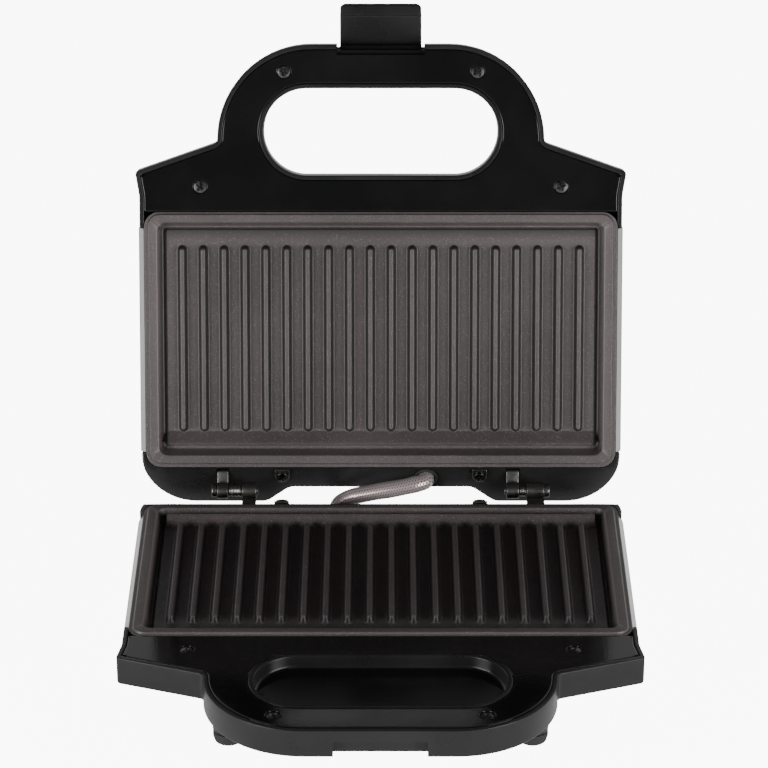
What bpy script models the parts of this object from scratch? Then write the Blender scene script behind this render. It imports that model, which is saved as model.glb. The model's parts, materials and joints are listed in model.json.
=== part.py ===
"""Two-slice panini press: two identical ribbed grill halves joined by a pair of rear hinges.

Sizes are in millimetres and become metres where a mesh is written.
Each half is drawn in one half frame: x to the side, y to the rear with the hinge axis at y = 0,
and z towards the other half with the parting plane at z = 0. The base uses that frame as it is.
The lid's frame is the same one turned over about y, then swung open about the hinge axis.
"""
import math

import bmesh
import bpy
from mathutils import Matrix, Vector

MM = 0.001

# Overall body
BODY_WIDTH = 241.6         # across the steel wraps
STEEL_PROUD = 1.0          # the steel stands out past the plastic on each side
HOUSING_WIDTH = BODY_WIDTH - 2 * STEEL_PROUD
BELLY_DEPTH = 32.0         # parting plane to the outer skin of one half
BELLY_ROUND = 17.5         # rounding along the outer long edges
GROUND_CLEARANCE = 7.0     # under the belly
AXIS_HEIGHT = BELLY_DEPTH + GROUND_CLEARANCE
LID_OPEN = 108.0           # degrees between closed and the stop

# Common walls and clearances
WALL = 2.3                 # moulded plastic
SHEET = 1.0                # steel wrap
GAP = 0.3                  # between neighbouring pieces
FACE_LEVEL = -1.5          # covers, flanges and housing edges, below the parting plane

# Plate outline: distances in front of the hinge axis, and half its width
PLATE_LENGTH = 128.4
FLANGE_REAR = 11.5
FLANGE_FRONT = FLANGE_REAR + PLATE_LENGTH
FLANGE_HALF = BODY_WIDTH / 2 - 3.2

# Seams between the three outer shells of one half
FRONT_SEAM = FLANGE_FRONT - 8.1
REAR_SEAM = FLANGE_REAR + 7.0
COLLAR = 4.0               # length of the plastic collars inside the steel

# Handle
HANDLE_DEPTH = 15.5
HANDLE_HALF = 80.0
HANDLE_ROUND = 46.8
HANDLE_LENGTH = 48.4       # in front of the shoulders
WING_TIP = FLANGE_FRONT + 20.1
SHOULDER = WING_TIP + 14.3  # inner corner between handle and wing
HANDLE_REACH = SHOULDER + HANDLE_LENGTH
BELLY_FRONT = FRONT_SEAM + 2.8     # the belly climbs to the handle's underside from here
HANDLE_UNDERSIDE = WING_TIP - 8.0
GRIP_CENTRE = HANDLE_REACH - 43.1
GRIP_HALF = (58.0, 21.5)   # half length and half height of the opening
GRIP_WALL = 2.2
RECESS_FLOOR = 9.5         # depth of the base handle's recess
COVER_THICK = 2.4
BULKHEAD_SET = 1.4         # wall between the handle's hollow and the heated part
BULKHEAD_THICK = 2.0
BULKHEAD_HALF = HOUSING_WIDTH / 2 - 3.8
STIFFENER_X = 29.0         # ribs under the floor of the base's recess

# Rear housing
REAR_SLOPE = 38.0          # degrees, the slope behind the plate
SLOPE_START = 11.2
LID_REAR = 8.6             # the lid's lobes reach this far behind the hinge axis
BASE_REAR = 4.6
LOBE_INNER = 57.5          # the lobes run from here out to the sides
ARCH_HALF = 46.0

# Grill plate
FLANGE_THICK = 1.2
RIM_TOP = -0.3
FLOOR_LEVEL = -5.3
CHANNEL_LEVEL = -7.5
PLATE_UNDERSIDE = -9.5
RIB_PITCH = 10.4
RIB_COUNT = 1 + int((2 * FLANGE_HALF - 36.0) / RIB_PITCH)
RIB_SPAN = (FLANGE_REAR + 17.7, FLANGE_FRONT - 16.9)
RAMP_LENGTH = 6.2
RIB_HEIGHT = 3.8
RIB_TOP_HALF = 0.9
RIB_FOOT_HALF = 2.4

# Hinges: x spans of the knuckles, seen in the base frame
LEFT_HINGE = {"lid": (-82.0, -76.6), "base": (-69.4, -62.4), "head": -1}
RIGHT_HINGE = {"lid": (63.0, 69.2), "base": (73.0, 81.8), "head": 1}
KNUCKLE_RADIUS = 4.0
PIN_RADIUS = 2.0
PIN_HEAD_RADIUS = 3.3
STRAP_THICK = 1.6
STRAP_REACH = 10.4
STRAP_DROP = BELLY_DEPTH - 8.4
STRAP_FOOT = 18.0
STRAP_SCREW = 14.4
STRAP_BOSS = 3.6

# Fasteners
SCREW_RADIUS = 1.3
SCREW_HEAD = 3.2
SCREW_HEAD_HEIGHT = 1.2
BOSS_RADIUS = 4.0
COVER_SCREWS = ((47.8, HANDLE_REACH - 13.4), (89.5, FLANGE_FRONT + 12.6))
CLIP_X = 49.5
CLIP_HALF = 3.7
CLIP_LENGTH = 8.6

# Latch
LATCH_HALF = 20.2
LATCH_PIVOT = (HANDLE_REACH - 2.5, -8.0)
LATCH_LENGTH = 22.3
LATCH_PIN_RADIUS = 1.1
LATCH_BARREL = 2.2
LATCH_PLATE = (-5.2, -2.9)
LATCH_LIP = (16.4, 0.9)
LID_NOTCH = LATCH_HALF + 1.4
NOTCH_DEPTH = 5.1
CATCH_HALF = LATCH_HALF + 0.9
CATCH_LEVEL = -7.6

# Feet
FOOT_RADIUS = 7.3
FOOT_HEIGHT = 5.7
FRONT_FEET = (70.0, FLANGE_FRONT + 30.4)
REAR_FEET = (78.0, 5.0)
STEM_RADIUS = 2.2

# Wire sleeve between the halves
SLEEVE_RADIUS = 4.2
GROMMET_WALL = 1.2
LID_EXIT = (22.6, 6.2)
BASE_EXIT = (-22.8, -19.5)
CORD_INLET = (26.0, -19.5)
CORD_HOLE = 3.3
GLAND_WALL = 2.4

# Working parts under the plates
REFLECTOR_SHEET = 0.8
ELEMENT_RADIUS = 3.2
ELEMENT_HALF = FLANGE_HALF - 41.6
ELEMENT_SPAN = (FLANGE_REAR + 18.5, FLANGE_FRONT - 21.9)
PAN_HALF = FLANGE_HALF - 11.6
PAN_SPAN = (FLANGE_REAR + 10.0, FLANGE_FRONT - 8.9)
LENS_X = 11.0
LENS_REACH = FLANGE_FRONT - 27.9
LENS_RADIUS = 3.7


# Cutters run past the model to these limits
BELOW = -BELLY_DEPTH - 8.0
ABOVE = 10.0
PAST_FRONT = -HANDLE_REACH - 7.0


# Outlines

def turn(before, here, after):
    """Signed angle by which a path turns at a corner."""
    into = Vector(here) - Vector(before)
    out = Vector(after) - Vector(here)
    return math.atan2(into.x * out.y - into.y * out.x, into.dot(out))


def rounded(corners, step=26.0):
    """Closed outline through corners (a, b, radius), each one rounded by an arc."""
    points = []
    count = len(corners)
    for index, (a, b, radius) in enumerate(corners):
        before = corners[index - 1][:2]
        after = corners[(index + 1) % count][:2]
        angle = turn(before, (a, b), after)
        if radius <= 0 or abs(angle) < 1e-4:
            points.append((a, b))
            continue
        back = (Vector(before) - Vector((a, b))).normalized()
        forth = (Vector(after) - Vector((a, b))).normalized()
        middle = (back + forth).normalized()
        centre = Vector((a, b)) + middle * radius / math.cos(angle / 2)
        start = Vector((a, b)) + back * radius * math.tan(abs(angle) / 2) - centre
        pieces = max(1, math.ceil(math.degrees(abs(angle)) / step))
        for piece in range(pieces + 1):
            spoke = Matrix.Rotation(angle * piece / pieces, 2) @ start
            points.append((centre.x + spoke.x, centre.y + spoke.y))
    return points


def inset(corners, distance):
    """The same anticlockwise corners moved inwards by a distance, radii kept concentric."""
    moved = []
    count = len(corners)
    for index, (a, b, radius) in enumerate(corners):
        before = corners[index - 1][:2]
        after = corners[(index + 1) % count][:2]
        angle = turn(before, (a, b), after)
        into = (Vector((a, b)) - Vector(before)).normalized()
        out = (Vector(after) - Vector((a, b))).normalized()
        normal = Vector((-into.y - out.y, into.x + out.x)).normalized()
        corner = Vector((a, b)) + normal * distance / math.cos(angle / 2)
        if radius > 0:
            radius = max(radius - math.copysign(distance, angle), 0.2)
        moved.append((corner.x, corner.y, radius))
    return moved


def mirrored(right):
    """Whole outline from its corners at positive x, listed anticlockwise."""
    left = [(-x, b, radius) for x, b, radius in reversed(right)]
    return right + left


def rectangle(half, rear, front, radius):
    """Corners of a rectangle from rear to front of the hinge axis, in x and y."""
    right = [(half, -front, radius), (half, -rear, radius)]
    return mirrored(right)


def stadium(grow=0.0):
    """The grip's opening, grown outwards."""
    half, height = GRIP_HALF
    height += grow
    return rectangle(half + grow, GRIP_CENTRE - height, GRIP_CENTRE + height, height - 0.01)


def circle(radius, count=12, centre=(0.0, 0.0)):
    """Points around a circle."""
    turns = [math.tau * index / count for index in range(count)]
    return [(centre[0] + radius * math.cos(t), centre[1] + radius * math.sin(t)) for t in turns]


def handle_plan(rear):
    """Corners of the handle and its wings, seen along z, open towards the rear."""
    side = HOUSING_WIDTH / 2
    return mirrored([
        (HANDLE_HALF, -HANDLE_REACH, HANDLE_ROUND),
        (HANDLE_HALF + 1.0, -SHOULDER, 3.0),
        (side + 2.0, -WING_TIP, 4.0),
        (side, -WING_TIP + 12.0, 12.0),
        (side, -rear, 0.0),
    ])


def rear_plan(reach, front):
    """Corners of the rear housing with its two lobes and the arch between them."""
    side = HOUSING_WIDTH / 2
    return mirrored([
        (side, -front, 0.0),
        (side, reach, reach + REAR_SEAM - 0.4),
        (LOBE_INNER, reach, 8.0),
        (ARCH_HALF, 0.0, 8.0),
    ])


def slope_level(y):
    """Height of the sloping face behind the plate."""
    return FACE_LEVEL - math.tan(math.radians(REAR_SLOPE)) * (SLOPE_START + y)


def handle_profile():
    """Side view of the handle end, in y and z."""
    return [
        (-FRONT_SEAM + 31.8, 6.0, 0.0),
        (-HANDLE_REACH, 6.0, 0.0),
        (-HANDLE_REACH, -HANDLE_DEPTH, 2.5),
        (-HANDLE_UNDERSIDE, -HANDLE_DEPTH, 12.0),
        (-BELLY_FRONT, -BELLY_DEPTH, 7.0),
        (-FRONT_SEAM + 31.8, -BELLY_DEPTH, 0.0),
    ]


def rear_profile(reach):
    """Side view of the hinge end, in y and z."""
    return [
        (-45.0, FACE_LEVEL, 0.0),
        (-45.0, -BELLY_DEPTH, 0.0),
        (reach, -BELLY_DEPTH, 10.0),
        (reach, slope_level(reach), 3.0),
        (-SLOPE_START, FACE_LEVEL, 1.0),
    ]


def housing_section():
    """Front view of the plastic shells, in x and z."""
    half = HOUSING_WIDTH / 2 + 2.2
    return mirrored([(half, -BELLY_DEPTH, BELLY_ROUND), (half, 6.0, 0.0)])


def wrap_section(top):
    """Front view of the steel wrap with its bulging sides, in x and z."""
    half = BODY_WIDTH / 2
    return mirrored([
        (half, -BELLY_DEPTH, BELLY_ROUND),
        (half, -7.5, 8.0),
        (FLANGE_HALF + 0.3, -3.0, 0.0),
        (FLANGE_HALF + 0.3, top, 0.0),
    ])


# Solids

def finish_mesh(name, mesh_builder):
    """Object from a bmesh in millimetres, with its faces turned outwards."""
    bmesh.ops.recalc_face_normals(mesh_builder, faces=mesh_builder.faces)
    mesh = bpy.data.meshes.new(name)
    mesh_builder.to_mesh(mesh)
    mesh_builder.free()
    mesh.transform(Matrix.Scale(MM, 4))
    solid = bpy.data.objects.new(name, mesh)
    bpy.context.collection.objects.link(solid)
    return solid


def loft(name, rings):
    """Solid through rings of equal point counts, closed by flat caps."""
    builder = bmesh.new()
    layers = [[builder.verts.new(point) for point in ring] for ring in rings]
    for lower, upper in zip(layers, layers[1:]):
        for index in range(len(lower)):
            following = (index + 1) % len(lower)
            builder.faces.new((lower[index], lower[following], upper[following], upper[index]))
    builder.faces.new(layers[0])
    builder.faces.new(layers[-1])
    return finish_mesh(name, builder)


def prism(outline, axis, low, high, name="shape"):
    """Solid from a flat outline carried from low to high along an axis."""
    def place(a, b, along):
        return {"X": (along, a, b), "Y": (a, along, b), "Z": (a, b, along)}[axis]
    return loft(name, [[place(a, b, along) for a, b in outline] for along in (low, high)])


def box(x_span, y_span, z_span, name="shape"):
    """Rectangular block between the limits given for each axis."""
    left, right = x_span
    near, far = y_span
    outline = [(left, near), (right, near), (right, far), (left, far)]
    return prism(outline, "Z", z_span[0], z_span[1], name)


def turned(profile, centre, axis="Z", count=14, name="shape"):
    """Turned piece: rings of (radius, height) around an axis through a centre."""
    rings = []
    for radius, height in profile:
        ring = circle(radius, count)
        if axis == "Z":
            points = [(centre[0] + a, centre[1] + b, centre[2] + height) for a, b in ring]
        elif axis == "X":
            points = [(centre[0] + height, centre[1] + a, centre[2] + b) for a, b in ring]
        else:
            points = [(centre[0] + b, centre[1] + height, centre[2] + a) for a, b in ring]
        rings.append(points)
    return loft(name, rings)


def combine(target, tools, operation):
    """Target after an exact Boolean with each tool, which is used up."""
    for tool in tools:
        step = target.modifiers.new("boolean", "BOOLEAN")
        step.operation = operation
        step.solver = "EXACT"
        step.object = tool
        graph = bpy.context.evaluated_depsgraph_get()
        result = bpy.data.meshes.new_from_object(target.evaluated_get(graph))
        target.modifiers.clear()
        target.data = result
        bpy.data.objects.remove(tool)
    return target


def cut(target, *tools):
    """Target without the tools."""
    return combine(target, tools, "DIFFERENCE")


def join(target, *tools):
    """Target and the tools as one solid."""
    return combine(target, tools, "UNION")


def common(target, *tools):
    """Only what the target and every tool share."""
    return combine(target, tools, "INTERSECT")


def paint(name, colour, roughness, metallic=0.0, transmission=0.0):
    """Principled material, made once for each name."""
    material = bpy.data.materials.get(name)
    if material is None:
        material = bpy.data.materials.new(name)
        material.use_nodes = True
        shader = material.node_tree.nodes["Principled BSDF"]
        shader.inputs["Base Color"].default_value = (*colour, 1.0)
        shader.inputs["Roughness"].default_value = roughness
        shader.inputs["Metallic"].default_value = metallic
        shader.inputs["Transmission Weight"].default_value = transmission
    return material


def satin_plastic():
    return paint("black_satin_plastic", (0.022, 0.022, 0.023), 0.42)


def gloss_plastic():
    return paint("black_gloss_plastic", (0.006, 0.006, 0.007), 0.10)


def steel_sheet():
    return paint("stainless_steel", (0.62, 0.61, 0.60), 0.28, 1.0)


def nonstick():
    return paint("nonstick_coating", (0.060, 0.052, 0.053), 0.45)


def dark_metal():
    return paint("hinge_steel", (0.16, 0.15, 0.15), 0.38, 1.0)


def dark_screw():
    return paint("black_screw", (0.05, 0.05, 0.05), 0.35, 1.0)


def place(solid, name, material, frame):
    """Name a finished solid, give it its material and hang it on its frame."""
    solid.name = name
    solid.data.name = name
    solid.data.materials.clear()
    solid.data.materials.append(material)
    solid.data.shade_smooth()
    solid.data.set_sharp_from_angle(angle=math.radians(32.0))
    solid.parent = frame
    return solid


def frame_empty(name, matrix):
    """Empty that carries the pieces of one body."""
    frame = bpy.data.objects.new(name, None)
    bpy.context.collection.objects.link(frame)
    frame.matrix_world = matrix
    return frame


# Pieces of either half

def shell_part(plan, profile, section, distance):
    """Plan, side and front outlines, each moved inwards, carried through and intersected."""
    top = FACE_LEVEL + 9.0 if distance > 0 else FACE_LEVEL
    solid = prism(rounded(inset(plan, distance)), "Z", -BELLY_DEPTH - 5.0, top)
    solid = common(solid, prism(rounded(inset(profile, distance)), "X", -BODY_WIDTH, BODY_WIDTH))
    return common(solid, prism(rounded(inset(section, distance)), "Y", -HANDLE_REACH - 20.0, 30.0))


def collar(rear, front):
    """Plastic collar that slips inside the steel wrap."""
    outer = prism(rounded(inset(wrap_section(6.0), SHEET + GAP)), "Y", -front, -rear)
    inner = prism(rounded(inset(wrap_section(9.0), SHEET + GAP + 2.0)), "Y", -front - 1.0, -rear + 1.0)
    outer = cut(outer, inner)
    return cut(outer, box((-BODY_WIDTH, BODY_WIDTH), (-front - 1.0, -rear + 1.0), (-4.5, 20.0)))


def plate_room():
    """Blocks that clear the plate's flange and its body."""
    flange = rectangle(FLANGE_HALF + GAP, FLANGE_REAR - GAP, FLANGE_FRONT + GAP, 7.8)
    body = rectangle(FLANGE_HALF - 2.4, FLANGE_REAR + 2.4, FLANGE_FRONT - 1.3, 5.8)
    return (
        prism(rounded(flange), "Z", FACE_LEVEL - FLANGE_THICK - GAP, 10.0),
        prism(rounded(body), "Z", PLATE_UNDERSIDE - GAP, 10.0),
    )


def cover_boss(x, reach):
    """Screw boss for the handle cover."""
    top = FACE_LEVEL - COVER_THICK - GAP
    return prism(circle(BOSS_RADIUS, 10, (x, -reach)), "Z", -HANDLE_DEPTH - 12.0, top)


def handle_housing(name, frame, is_lid):
    """Outer shell of the handle end with its grip wall, screw bosses and latch notch or catch."""
    plan = handle_plan(FRONT_SEAM)
    open_plan = handle_plan(FRONT_SEAM - 30.0)
    outer = shell_part(plan, handle_profile(), housing_section(), 0.0)
    inner = shell_part(open_plan, handle_profile(), housing_section(), WALL)
    housing = cut(outer, inner)
    envelope = shell_part(plan, handle_profile(), housing_section(), 0.8)
    inside = [cover_boss(side * x, reach) for x, reach in COVER_SCREWS for side in (-1, 1)]
    under_cover = FACE_LEVEL - COVER_THICK - GAP - 0.2
    bulkhead = (-FLANGE_FRONT - BULKHEAD_SET - BULKHEAD_THICK, -FLANGE_FRONT - BULKHEAD_SET)
    inside.append(box((-BULKHEAD_HALF, BULKHEAD_HALF), bulkhead, (BELOW, under_cover)))
    back = -HANDLE_REACH + NOTCH_DEPTH
    pocket_half = (LID_NOTCH if is_lid else CATCH_HALF) + WALL
    pocket_top = under_cover if is_lid else CATCH_LEVEL + WALL
    inside.append(box((-pocket_half, pocket_half), (PAST_FRONT, back + WALL), (BELOW, pocket_top)))
    if not is_lid:
        for x in (-STIFFENER_X, STIFFENER_X):
            span = (x - BULKHEAD_THICK / 2, x + BULKHEAD_THICK / 2)
            length = (-HANDLE_REACH + 7.7, -FLANGE_FRONT - 5.1)
            inside.append(box(span, length, (BELOW, -RECESS_FLOOR - 1.0)))
    fittings = join(inside[0], *inside[1:])
    housing = join(housing, common(fittings, envelope))
    grip_outer = rounded(stadium(GRIP_WALL))
    grip_inner = rounded(stadium())
    if is_lid:
        housing = join(housing, prism(grip_outer, "Z", -HANDLE_DEPTH, FACE_LEVEL))
        housing = cut(housing, prism(grip_inner, "Z", BELOW, ABOVE))
        housing = cut(housing, box((-LID_NOTCH, LID_NOTCH), (PAST_FRONT, back), (BELOW, ABOVE)))
        pin_hole = circle(LATCH_PIN_RADIUS + GAP, 8, (-LATCH_PIVOT[0], LATCH_PIVOT[1]))
        housing = cut(housing, prism(pin_hole, "X", -LID_NOTCH - WALL - 1.0, LID_NOTCH + WALL + 1.0))
    else:
        housing = join(housing, prism(grip_outer, "Z", -RECESS_FLOOR - WALL, FACE_LEVEL))
        housing = cut(housing, prism(grip_inner, "Z", -RECESS_FLOOR, 10.0))
        housing = cut(housing, box((-CATCH_HALF, CATCH_HALF), (PAST_FRONT, back), (BELOW, CATCH_LEVEL)))
        for side in (-1, 1):
            leg_top = -HANDLE_DEPTH + 1.0
            leg_bottom = -AXIS_HEIGHT + FOOT_HEIGHT + GAP
            centre = (side * FRONT_FEET[0], -FRONT_FEET[1], 0.0)
            leg = turned([(FOOT_RADIUS, leg_bottom), (FOOT_RADIUS + 1.2, leg_top)], centre)
            housing = join(housing, leg)
            socket = [(STEM_RADIUS + GAP, leg_bottom - 5.0), (STEM_RADIUS + GAP, leg_bottom + 7.0)]
            housing = cut(housing, turned(socket, centre, count=10))
    for x, reach in COVER_SCREWS:
        for side in (-1, 1):
            pilot = circle(SCREW_RADIUS + GAP, 8, (side * x, -reach))
            housing = cut(housing, prism(pilot, "Z", -13.0, 10.0))
    housing = join(housing, collar(FRONT_SEAM - COLLAR, FRONT_SEAM + 0.6))
    housing = cut(housing, *plate_room())
    return place(housing, name, satin_plastic(), frame)


def handle_cover(name, frame, is_lid):
    """Glossy inner cover of the handle, flush with the plate's flange, notched for the lid's latch."""
    distance = WALL + GAP
    plan = inset(handle_plan(FLANGE_FRONT + GAP - distance), distance)
    cover = prism(rounded(plan), "Z", FACE_LEVEL - COVER_THICK, FACE_LEVEL)
    cover = cut(cover, prism(rounded(stadium(GRIP_WALL + GAP)), "Z", -20.0, 10.0))
    if is_lid:
        back = -HANDLE_REACH + NOTCH_DEPTH
        cover = cut(cover, box((-LID_NOTCH, LID_NOTCH), (PAST_FRONT, back), (BELOW, ABOVE)))
    seat = FACE_LEVEL - COVER_THICK + 0.9
    for x, reach in COVER_SCREWS:
        for side in (-1, 1):
            centre = (side * x, -reach)
            cover = cut(cover, prism(circle(SCREW_RADIUS + 0.4, 8, centre), "Z", -20.0, 10.0))
            cover = cut(cover, prism(circle(SCREW_HEAD + GAP, 14, centre), "Z", seat, 10.0))
    return place(cover, name, gloss_plastic(), frame)


def screw(name, frame, centre, top, length, tilt=None):
    """Screw standing along z, with its head's top at a height, or tilted by a matrix."""
    under = top - SCREW_HEAD_HEIGHT
    tip = under - length
    profile = [(SCREW_RADIUS, tip), (SCREW_RADIUS, under), (SCREW_HEAD, under), (SCREW_HEAD, top)]
    solid = turned(profile, (centre[0], centre[1], 0.0), count=8)
    if tilt:
        solid.data.transform(tilt)
    return place(solid, name, dark_screw(), frame)


def hinge_housing(name, frame, is_lid):
    """Rear shell with two lobes, a sloping face behind the plate and bosses for the hinge brackets."""
    reach = LID_REAR if is_lid else BASE_REAR
    outer = shell_part(rear_plan(reach, REAR_SEAM), rear_profile(reach), housing_section(), 0.0)
    inner_plan = rear_plan(reach, REAR_SEAM + 30.0)
    inner = shell_part(inner_plan, rear_profile(reach), housing_section(), WALL)
    housing = cut(outer, inner)
    socket_radius = STEM_RADIUS + GAP
    bush_hole = SLEEVE_RADIUS + GROMMET_WALL + 2 * GAP
    holes = []
    if is_lid:
        exit_hole = turned([(bush_hole, -6.0), (bush_hole, 5.0)], (0.0, 0.0, 0.0))
        exit_hole.data.transform(exit_matrix())
        holes.append(exit_hole)
    else:
        for (x, z), radius in ((BASE_EXIT, bush_hole), (CORD_INLET, CORD_HOLE + GLAND_WALL + GAP)):
            holes.append(turned([(radius, -9.0), (radius, 9.0)], (x, 0.0, z), "Y"))
        leg_bottom = -AXIS_HEIGHT + FOOT_HEIGHT + GAP
        for side in (-1, 1):
            centre = (side * REAR_FEET[0], -REAR_FEET[1], 0.0)
            pad = turned([(FOOT_RADIUS, leg_bottom), (FOOT_RADIUS + 1.0, -BELLY_DEPTH + 5.5)], centre)
            housing = join(housing, pad)
            socket = [(socket_radius, leg_bottom - 5.0), (socket_radius, leg_bottom + 7.0)]
            holes.append(turned(socket, centre, count=10))
    for low, high in bracket_spans(is_lid):
        middle = (low + high) / 2
        boss = circle(STRAP_BOSS, 10, (middle, -STRAP_SCREW))
        housing = join(housing, prism(boss, "Z", -BELLY_DEPTH + 1.0, -STRAP_DROP - GAP))
        pilot = circle(SCREW_RADIUS + GAP, 8, (middle, -STRAP_SCREW))
        holes.append(prism(pilot, "Z", -BELLY_DEPTH + 3.0, 0.0))
        slot_y = (-STRAP_REACH - 0.5, -STRAP_REACH + 3.6)
        holes.append(box((low - 0.4, high + 0.4), slot_y, (-11.0, 5.0)))
    for side in (-1, 1):
        hole = prism(circle(SCREW_RADIUS + GAP, 8, (0.0, CLIP_LENGTH - CLIP_HALF)), "Z", -9.0, 5.0)
        hole.data.transform(slope_matrix(side * CLIP_X))
        holes.append(hole)
    housing = cut(housing, *holes)
    housing = join(housing, collar(REAR_SEAM - 0.6, REAR_SEAM + COLLAR))
    housing = cut(housing, *plate_room())
    return place(housing, name, satin_plastic(), frame)


def steel_wrap(name, frame, is_lid):
    """Bent steel skin over the belly and both sides."""
    span = (-FRONT_SEAM + GAP, -REAR_SEAM - GAP)
    top = FACE_LEVEL - FLANGE_THICK - GAP
    wrap = prism(rounded(wrap_section(6.0)), "Y", *span)
    past = (span[0] - 1.0, span[1] + 1.0)
    wrap = cut(wrap, prism(rounded(inset(wrap_section(12.0), SHEET)), "Y", *past))
    wrap = cut(wrap, box((-BODY_WIDTH, BODY_WIDTH), past, (top, 20.0)))
    if is_lid:
        for side in (-1, 1):
            hole = circle(LENS_RADIUS + GAP, 14, (side * LENS_X, -LENS_REACH))
            wrap = cut(wrap, prism(hole, "Z", -BELLY_DEPTH - 4.0, -BELLY_DEPTH + 4.0))
    return place(wrap, name, steel_sheet(), frame)


def plate_ring(half, rear, front, radius, level):
    """One level of the plate's stepped outline."""
    return [(x, y, level) for x, y in rounded(rectangle(half, rear, front, radius), 30.0)]


def grill_plate(name, frame):
    """Cast plate: flange, raised rim, drip channel, ramp at the hinge side and ribs."""
    side, rear, front = FLANGE_HALF, FLANGE_REAR, FLANGE_FRONT
    under = FACE_LEVEL - FLANGE_THICK
    plate = loft("plate", [
        plate_ring(side - 4.2, rear + 4.2, front - 3.1, 4.0, PLATE_UNDERSIDE),
        plate_ring(side - 2.7, rear + 2.7, front - 1.6, 5.5, PLATE_UNDERSIDE + 1.0),
        plate_ring(side - 2.7, rear + 2.7, front - 1.6, 5.5, under),
        plate_ring(side, rear, front, 7.5, under),
        plate_ring(side, rear, front, 7.5, FACE_LEVEL),
        plate_ring(side - 1.6, rear + 1.6, front - 0.7, 6.4, FACE_LEVEL),
        plate_ring(side - 2.0, rear + 2.0, front - 0.9, 6.0, RIM_TOP - 0.4),
        plate_ring(side - 2.4, rear + 2.4, front - 1.3, 5.6, RIM_TOP),
        plate_ring(side - 6.3, rear + 6.1, front - 4.9, 4.9, RIM_TOP),
        plate_ring(side - 6.7, rear + 6.5, front - 5.3, 4.5, RIM_TOP - 0.4),
        plate_ring(side - 9.0, rear + 9.1, front - 7.5, 2.4, CHANNEL_LEVEL),
        plate_ring(side - 11.3, rear + 11.7, front - 9.3, 0.4, FLOOR_LEVEL),
    ])
    lip = rear + 11.7
    ramp = [(-lip, FLOOR_LEVEL - 1.0), (-lip, RIM_TOP - 0.4), (-lip - 0.6, RIM_TOP - 0.2),
            (-lip - RAMP_LENGTH, FLOOR_LEVEL), (-lip - RAMP_LENGTH, FLOOR_LEVEL - 1.0)]
    plate = join(plate, prism(ramp, "X", -side + 11.3, side - 11.3))
    ribs = [grill_rib((index - (RIB_COUNT - 1) / 2) * RIB_PITCH) for index in range(RIB_COUNT)]
    plate = join(plate, merge_solids(ribs))
    return place(plate, name, nonstick(), frame)


def grill_rib(x):
    """One rib with sloping flanks and round ends."""
    rings = []
    for half, level in ((RIB_FOOT_HALF + 0.25, FLOOR_LEVEL - 0.6), (RIB_TOP_HALF, FLOOR_LEVEL + RIB_HEIGHT)):
        shrink = RIB_FOOT_HALF - half
        corners = rectangle(half, RIB_SPAN[0] + shrink, RIB_SPAN[1] - shrink, half - 0.01)
        rings.append([(x + a, b, level) for a, b in rounded(corners, 90.0)])
    return loft("rib", rings)


def merge_solids(solids):
    """Separate solids held in one object, ready for a single union."""
    builder = bmesh.new()
    for solid in solids:
        builder.from_mesh(solid.data)
        bpy.data.objects.remove(solid)
    mesh = bpy.data.meshes.new("group")
    builder.to_mesh(mesh)
    builder.free()
    group = bpy.data.objects.new("group", mesh)
    bpy.context.collection.objects.link(group)
    return group


def tube(name, points, radius, resolution=2):
    """Round tube through points, in millimetres, with closed ends."""
    curve = bpy.data.curves.new(name, "CURVE")
    curve.dimensions = "3D"
    curve.bevel_depth = radius * MM
    curve.bevel_resolution = resolution
    curve.use_fill_caps = True
    spline = curve.splines.new("POLY")
    spline.points.add(len(points) - 1)
    for target, point in zip(spline.points, points):
        target.co = (*(Vector(point) * MM), 1.0)
    shape = bpy.data.objects.new(name, curve)
    bpy.context.collection.objects.link(shape)
    graph = bpy.context.evaluated_depsgraph_get()
    mesh = bpy.data.meshes.new_from_object(shape.evaluated_get(graph))
    bpy.data.objects.remove(shape)
    builder = bmesh.new()
    builder.from_mesh(mesh)
    bmesh.ops.remove_doubles(builder, verts=builder.verts, dist=0.00001)
    bmesh.ops.recalc_face_normals(builder, faces=builder.faces)
    builder.to_mesh(mesh)
    builder.free()
    solid = bpy.data.objects.new(name, mesh)
    bpy.context.collection.objects.link(solid)
    return solid


def heating_element(name, frame):
    """Tubular element bent into a long U below the plate."""
    level = PLATE_UNDERSIDE - GAP - ELEMENT_RADIUS
    half, (rear, front) = ELEMENT_HALF, ELEMENT_SPAN
    bend = [(half, -rear, 0.0), (half, -front, 20.0), (-half, -front, 20.0), (-half, -rear, 0.0)]
    points = [(x, y, level) for x, y in rounded(bend, 22.5)]
    element = tube(name, points, ELEMENT_RADIUS)
    return place(element, name, paint("element_sheath", (0.30, 0.29, 0.28), 0.5, 1.0), frame)


def reflector(name, frame):
    """Pressed aluminised pan that throws the heat back at the plate."""
    levels = (PLATE_UNDERSIDE - 1.2, PLATE_UNDERSIDE - 13.0)
    rear, front = PAN_SPAN

    def ring(slope, sheet, level):
        inwards = slope + sheet
        return plate_ring(PAN_HALF - inwards, rear + inwards, front - inwards, 8.0, level)

    sheet = REFLECTOR_SHEET
    pan = loft("pan", [ring(0.0, 0.0, levels[0]), ring(5.0, 0.0, levels[1])])
    hollow = [ring(0.0, sheet, levels[0] + 0.5), ring(5.0, sheet, levels[1] + sheet)]
    pan = cut(pan, loft("hollow", hollow))
    return place(pan, name, paint("aluminised_sheet", (0.70, 0.70, 0.69), 0.35, 1.0), frame)


def bracket_spans(is_lid):
    """x spans of the straps of one half, in its own frame."""
    if is_lid:
        return [(-high, -low) for low, high in (LEFT_HINGE["lid"], RIGHT_HINGE["lid"])]
    return [LEFT_HINGE["base"], RIGHT_HINGE["base"]]


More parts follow.
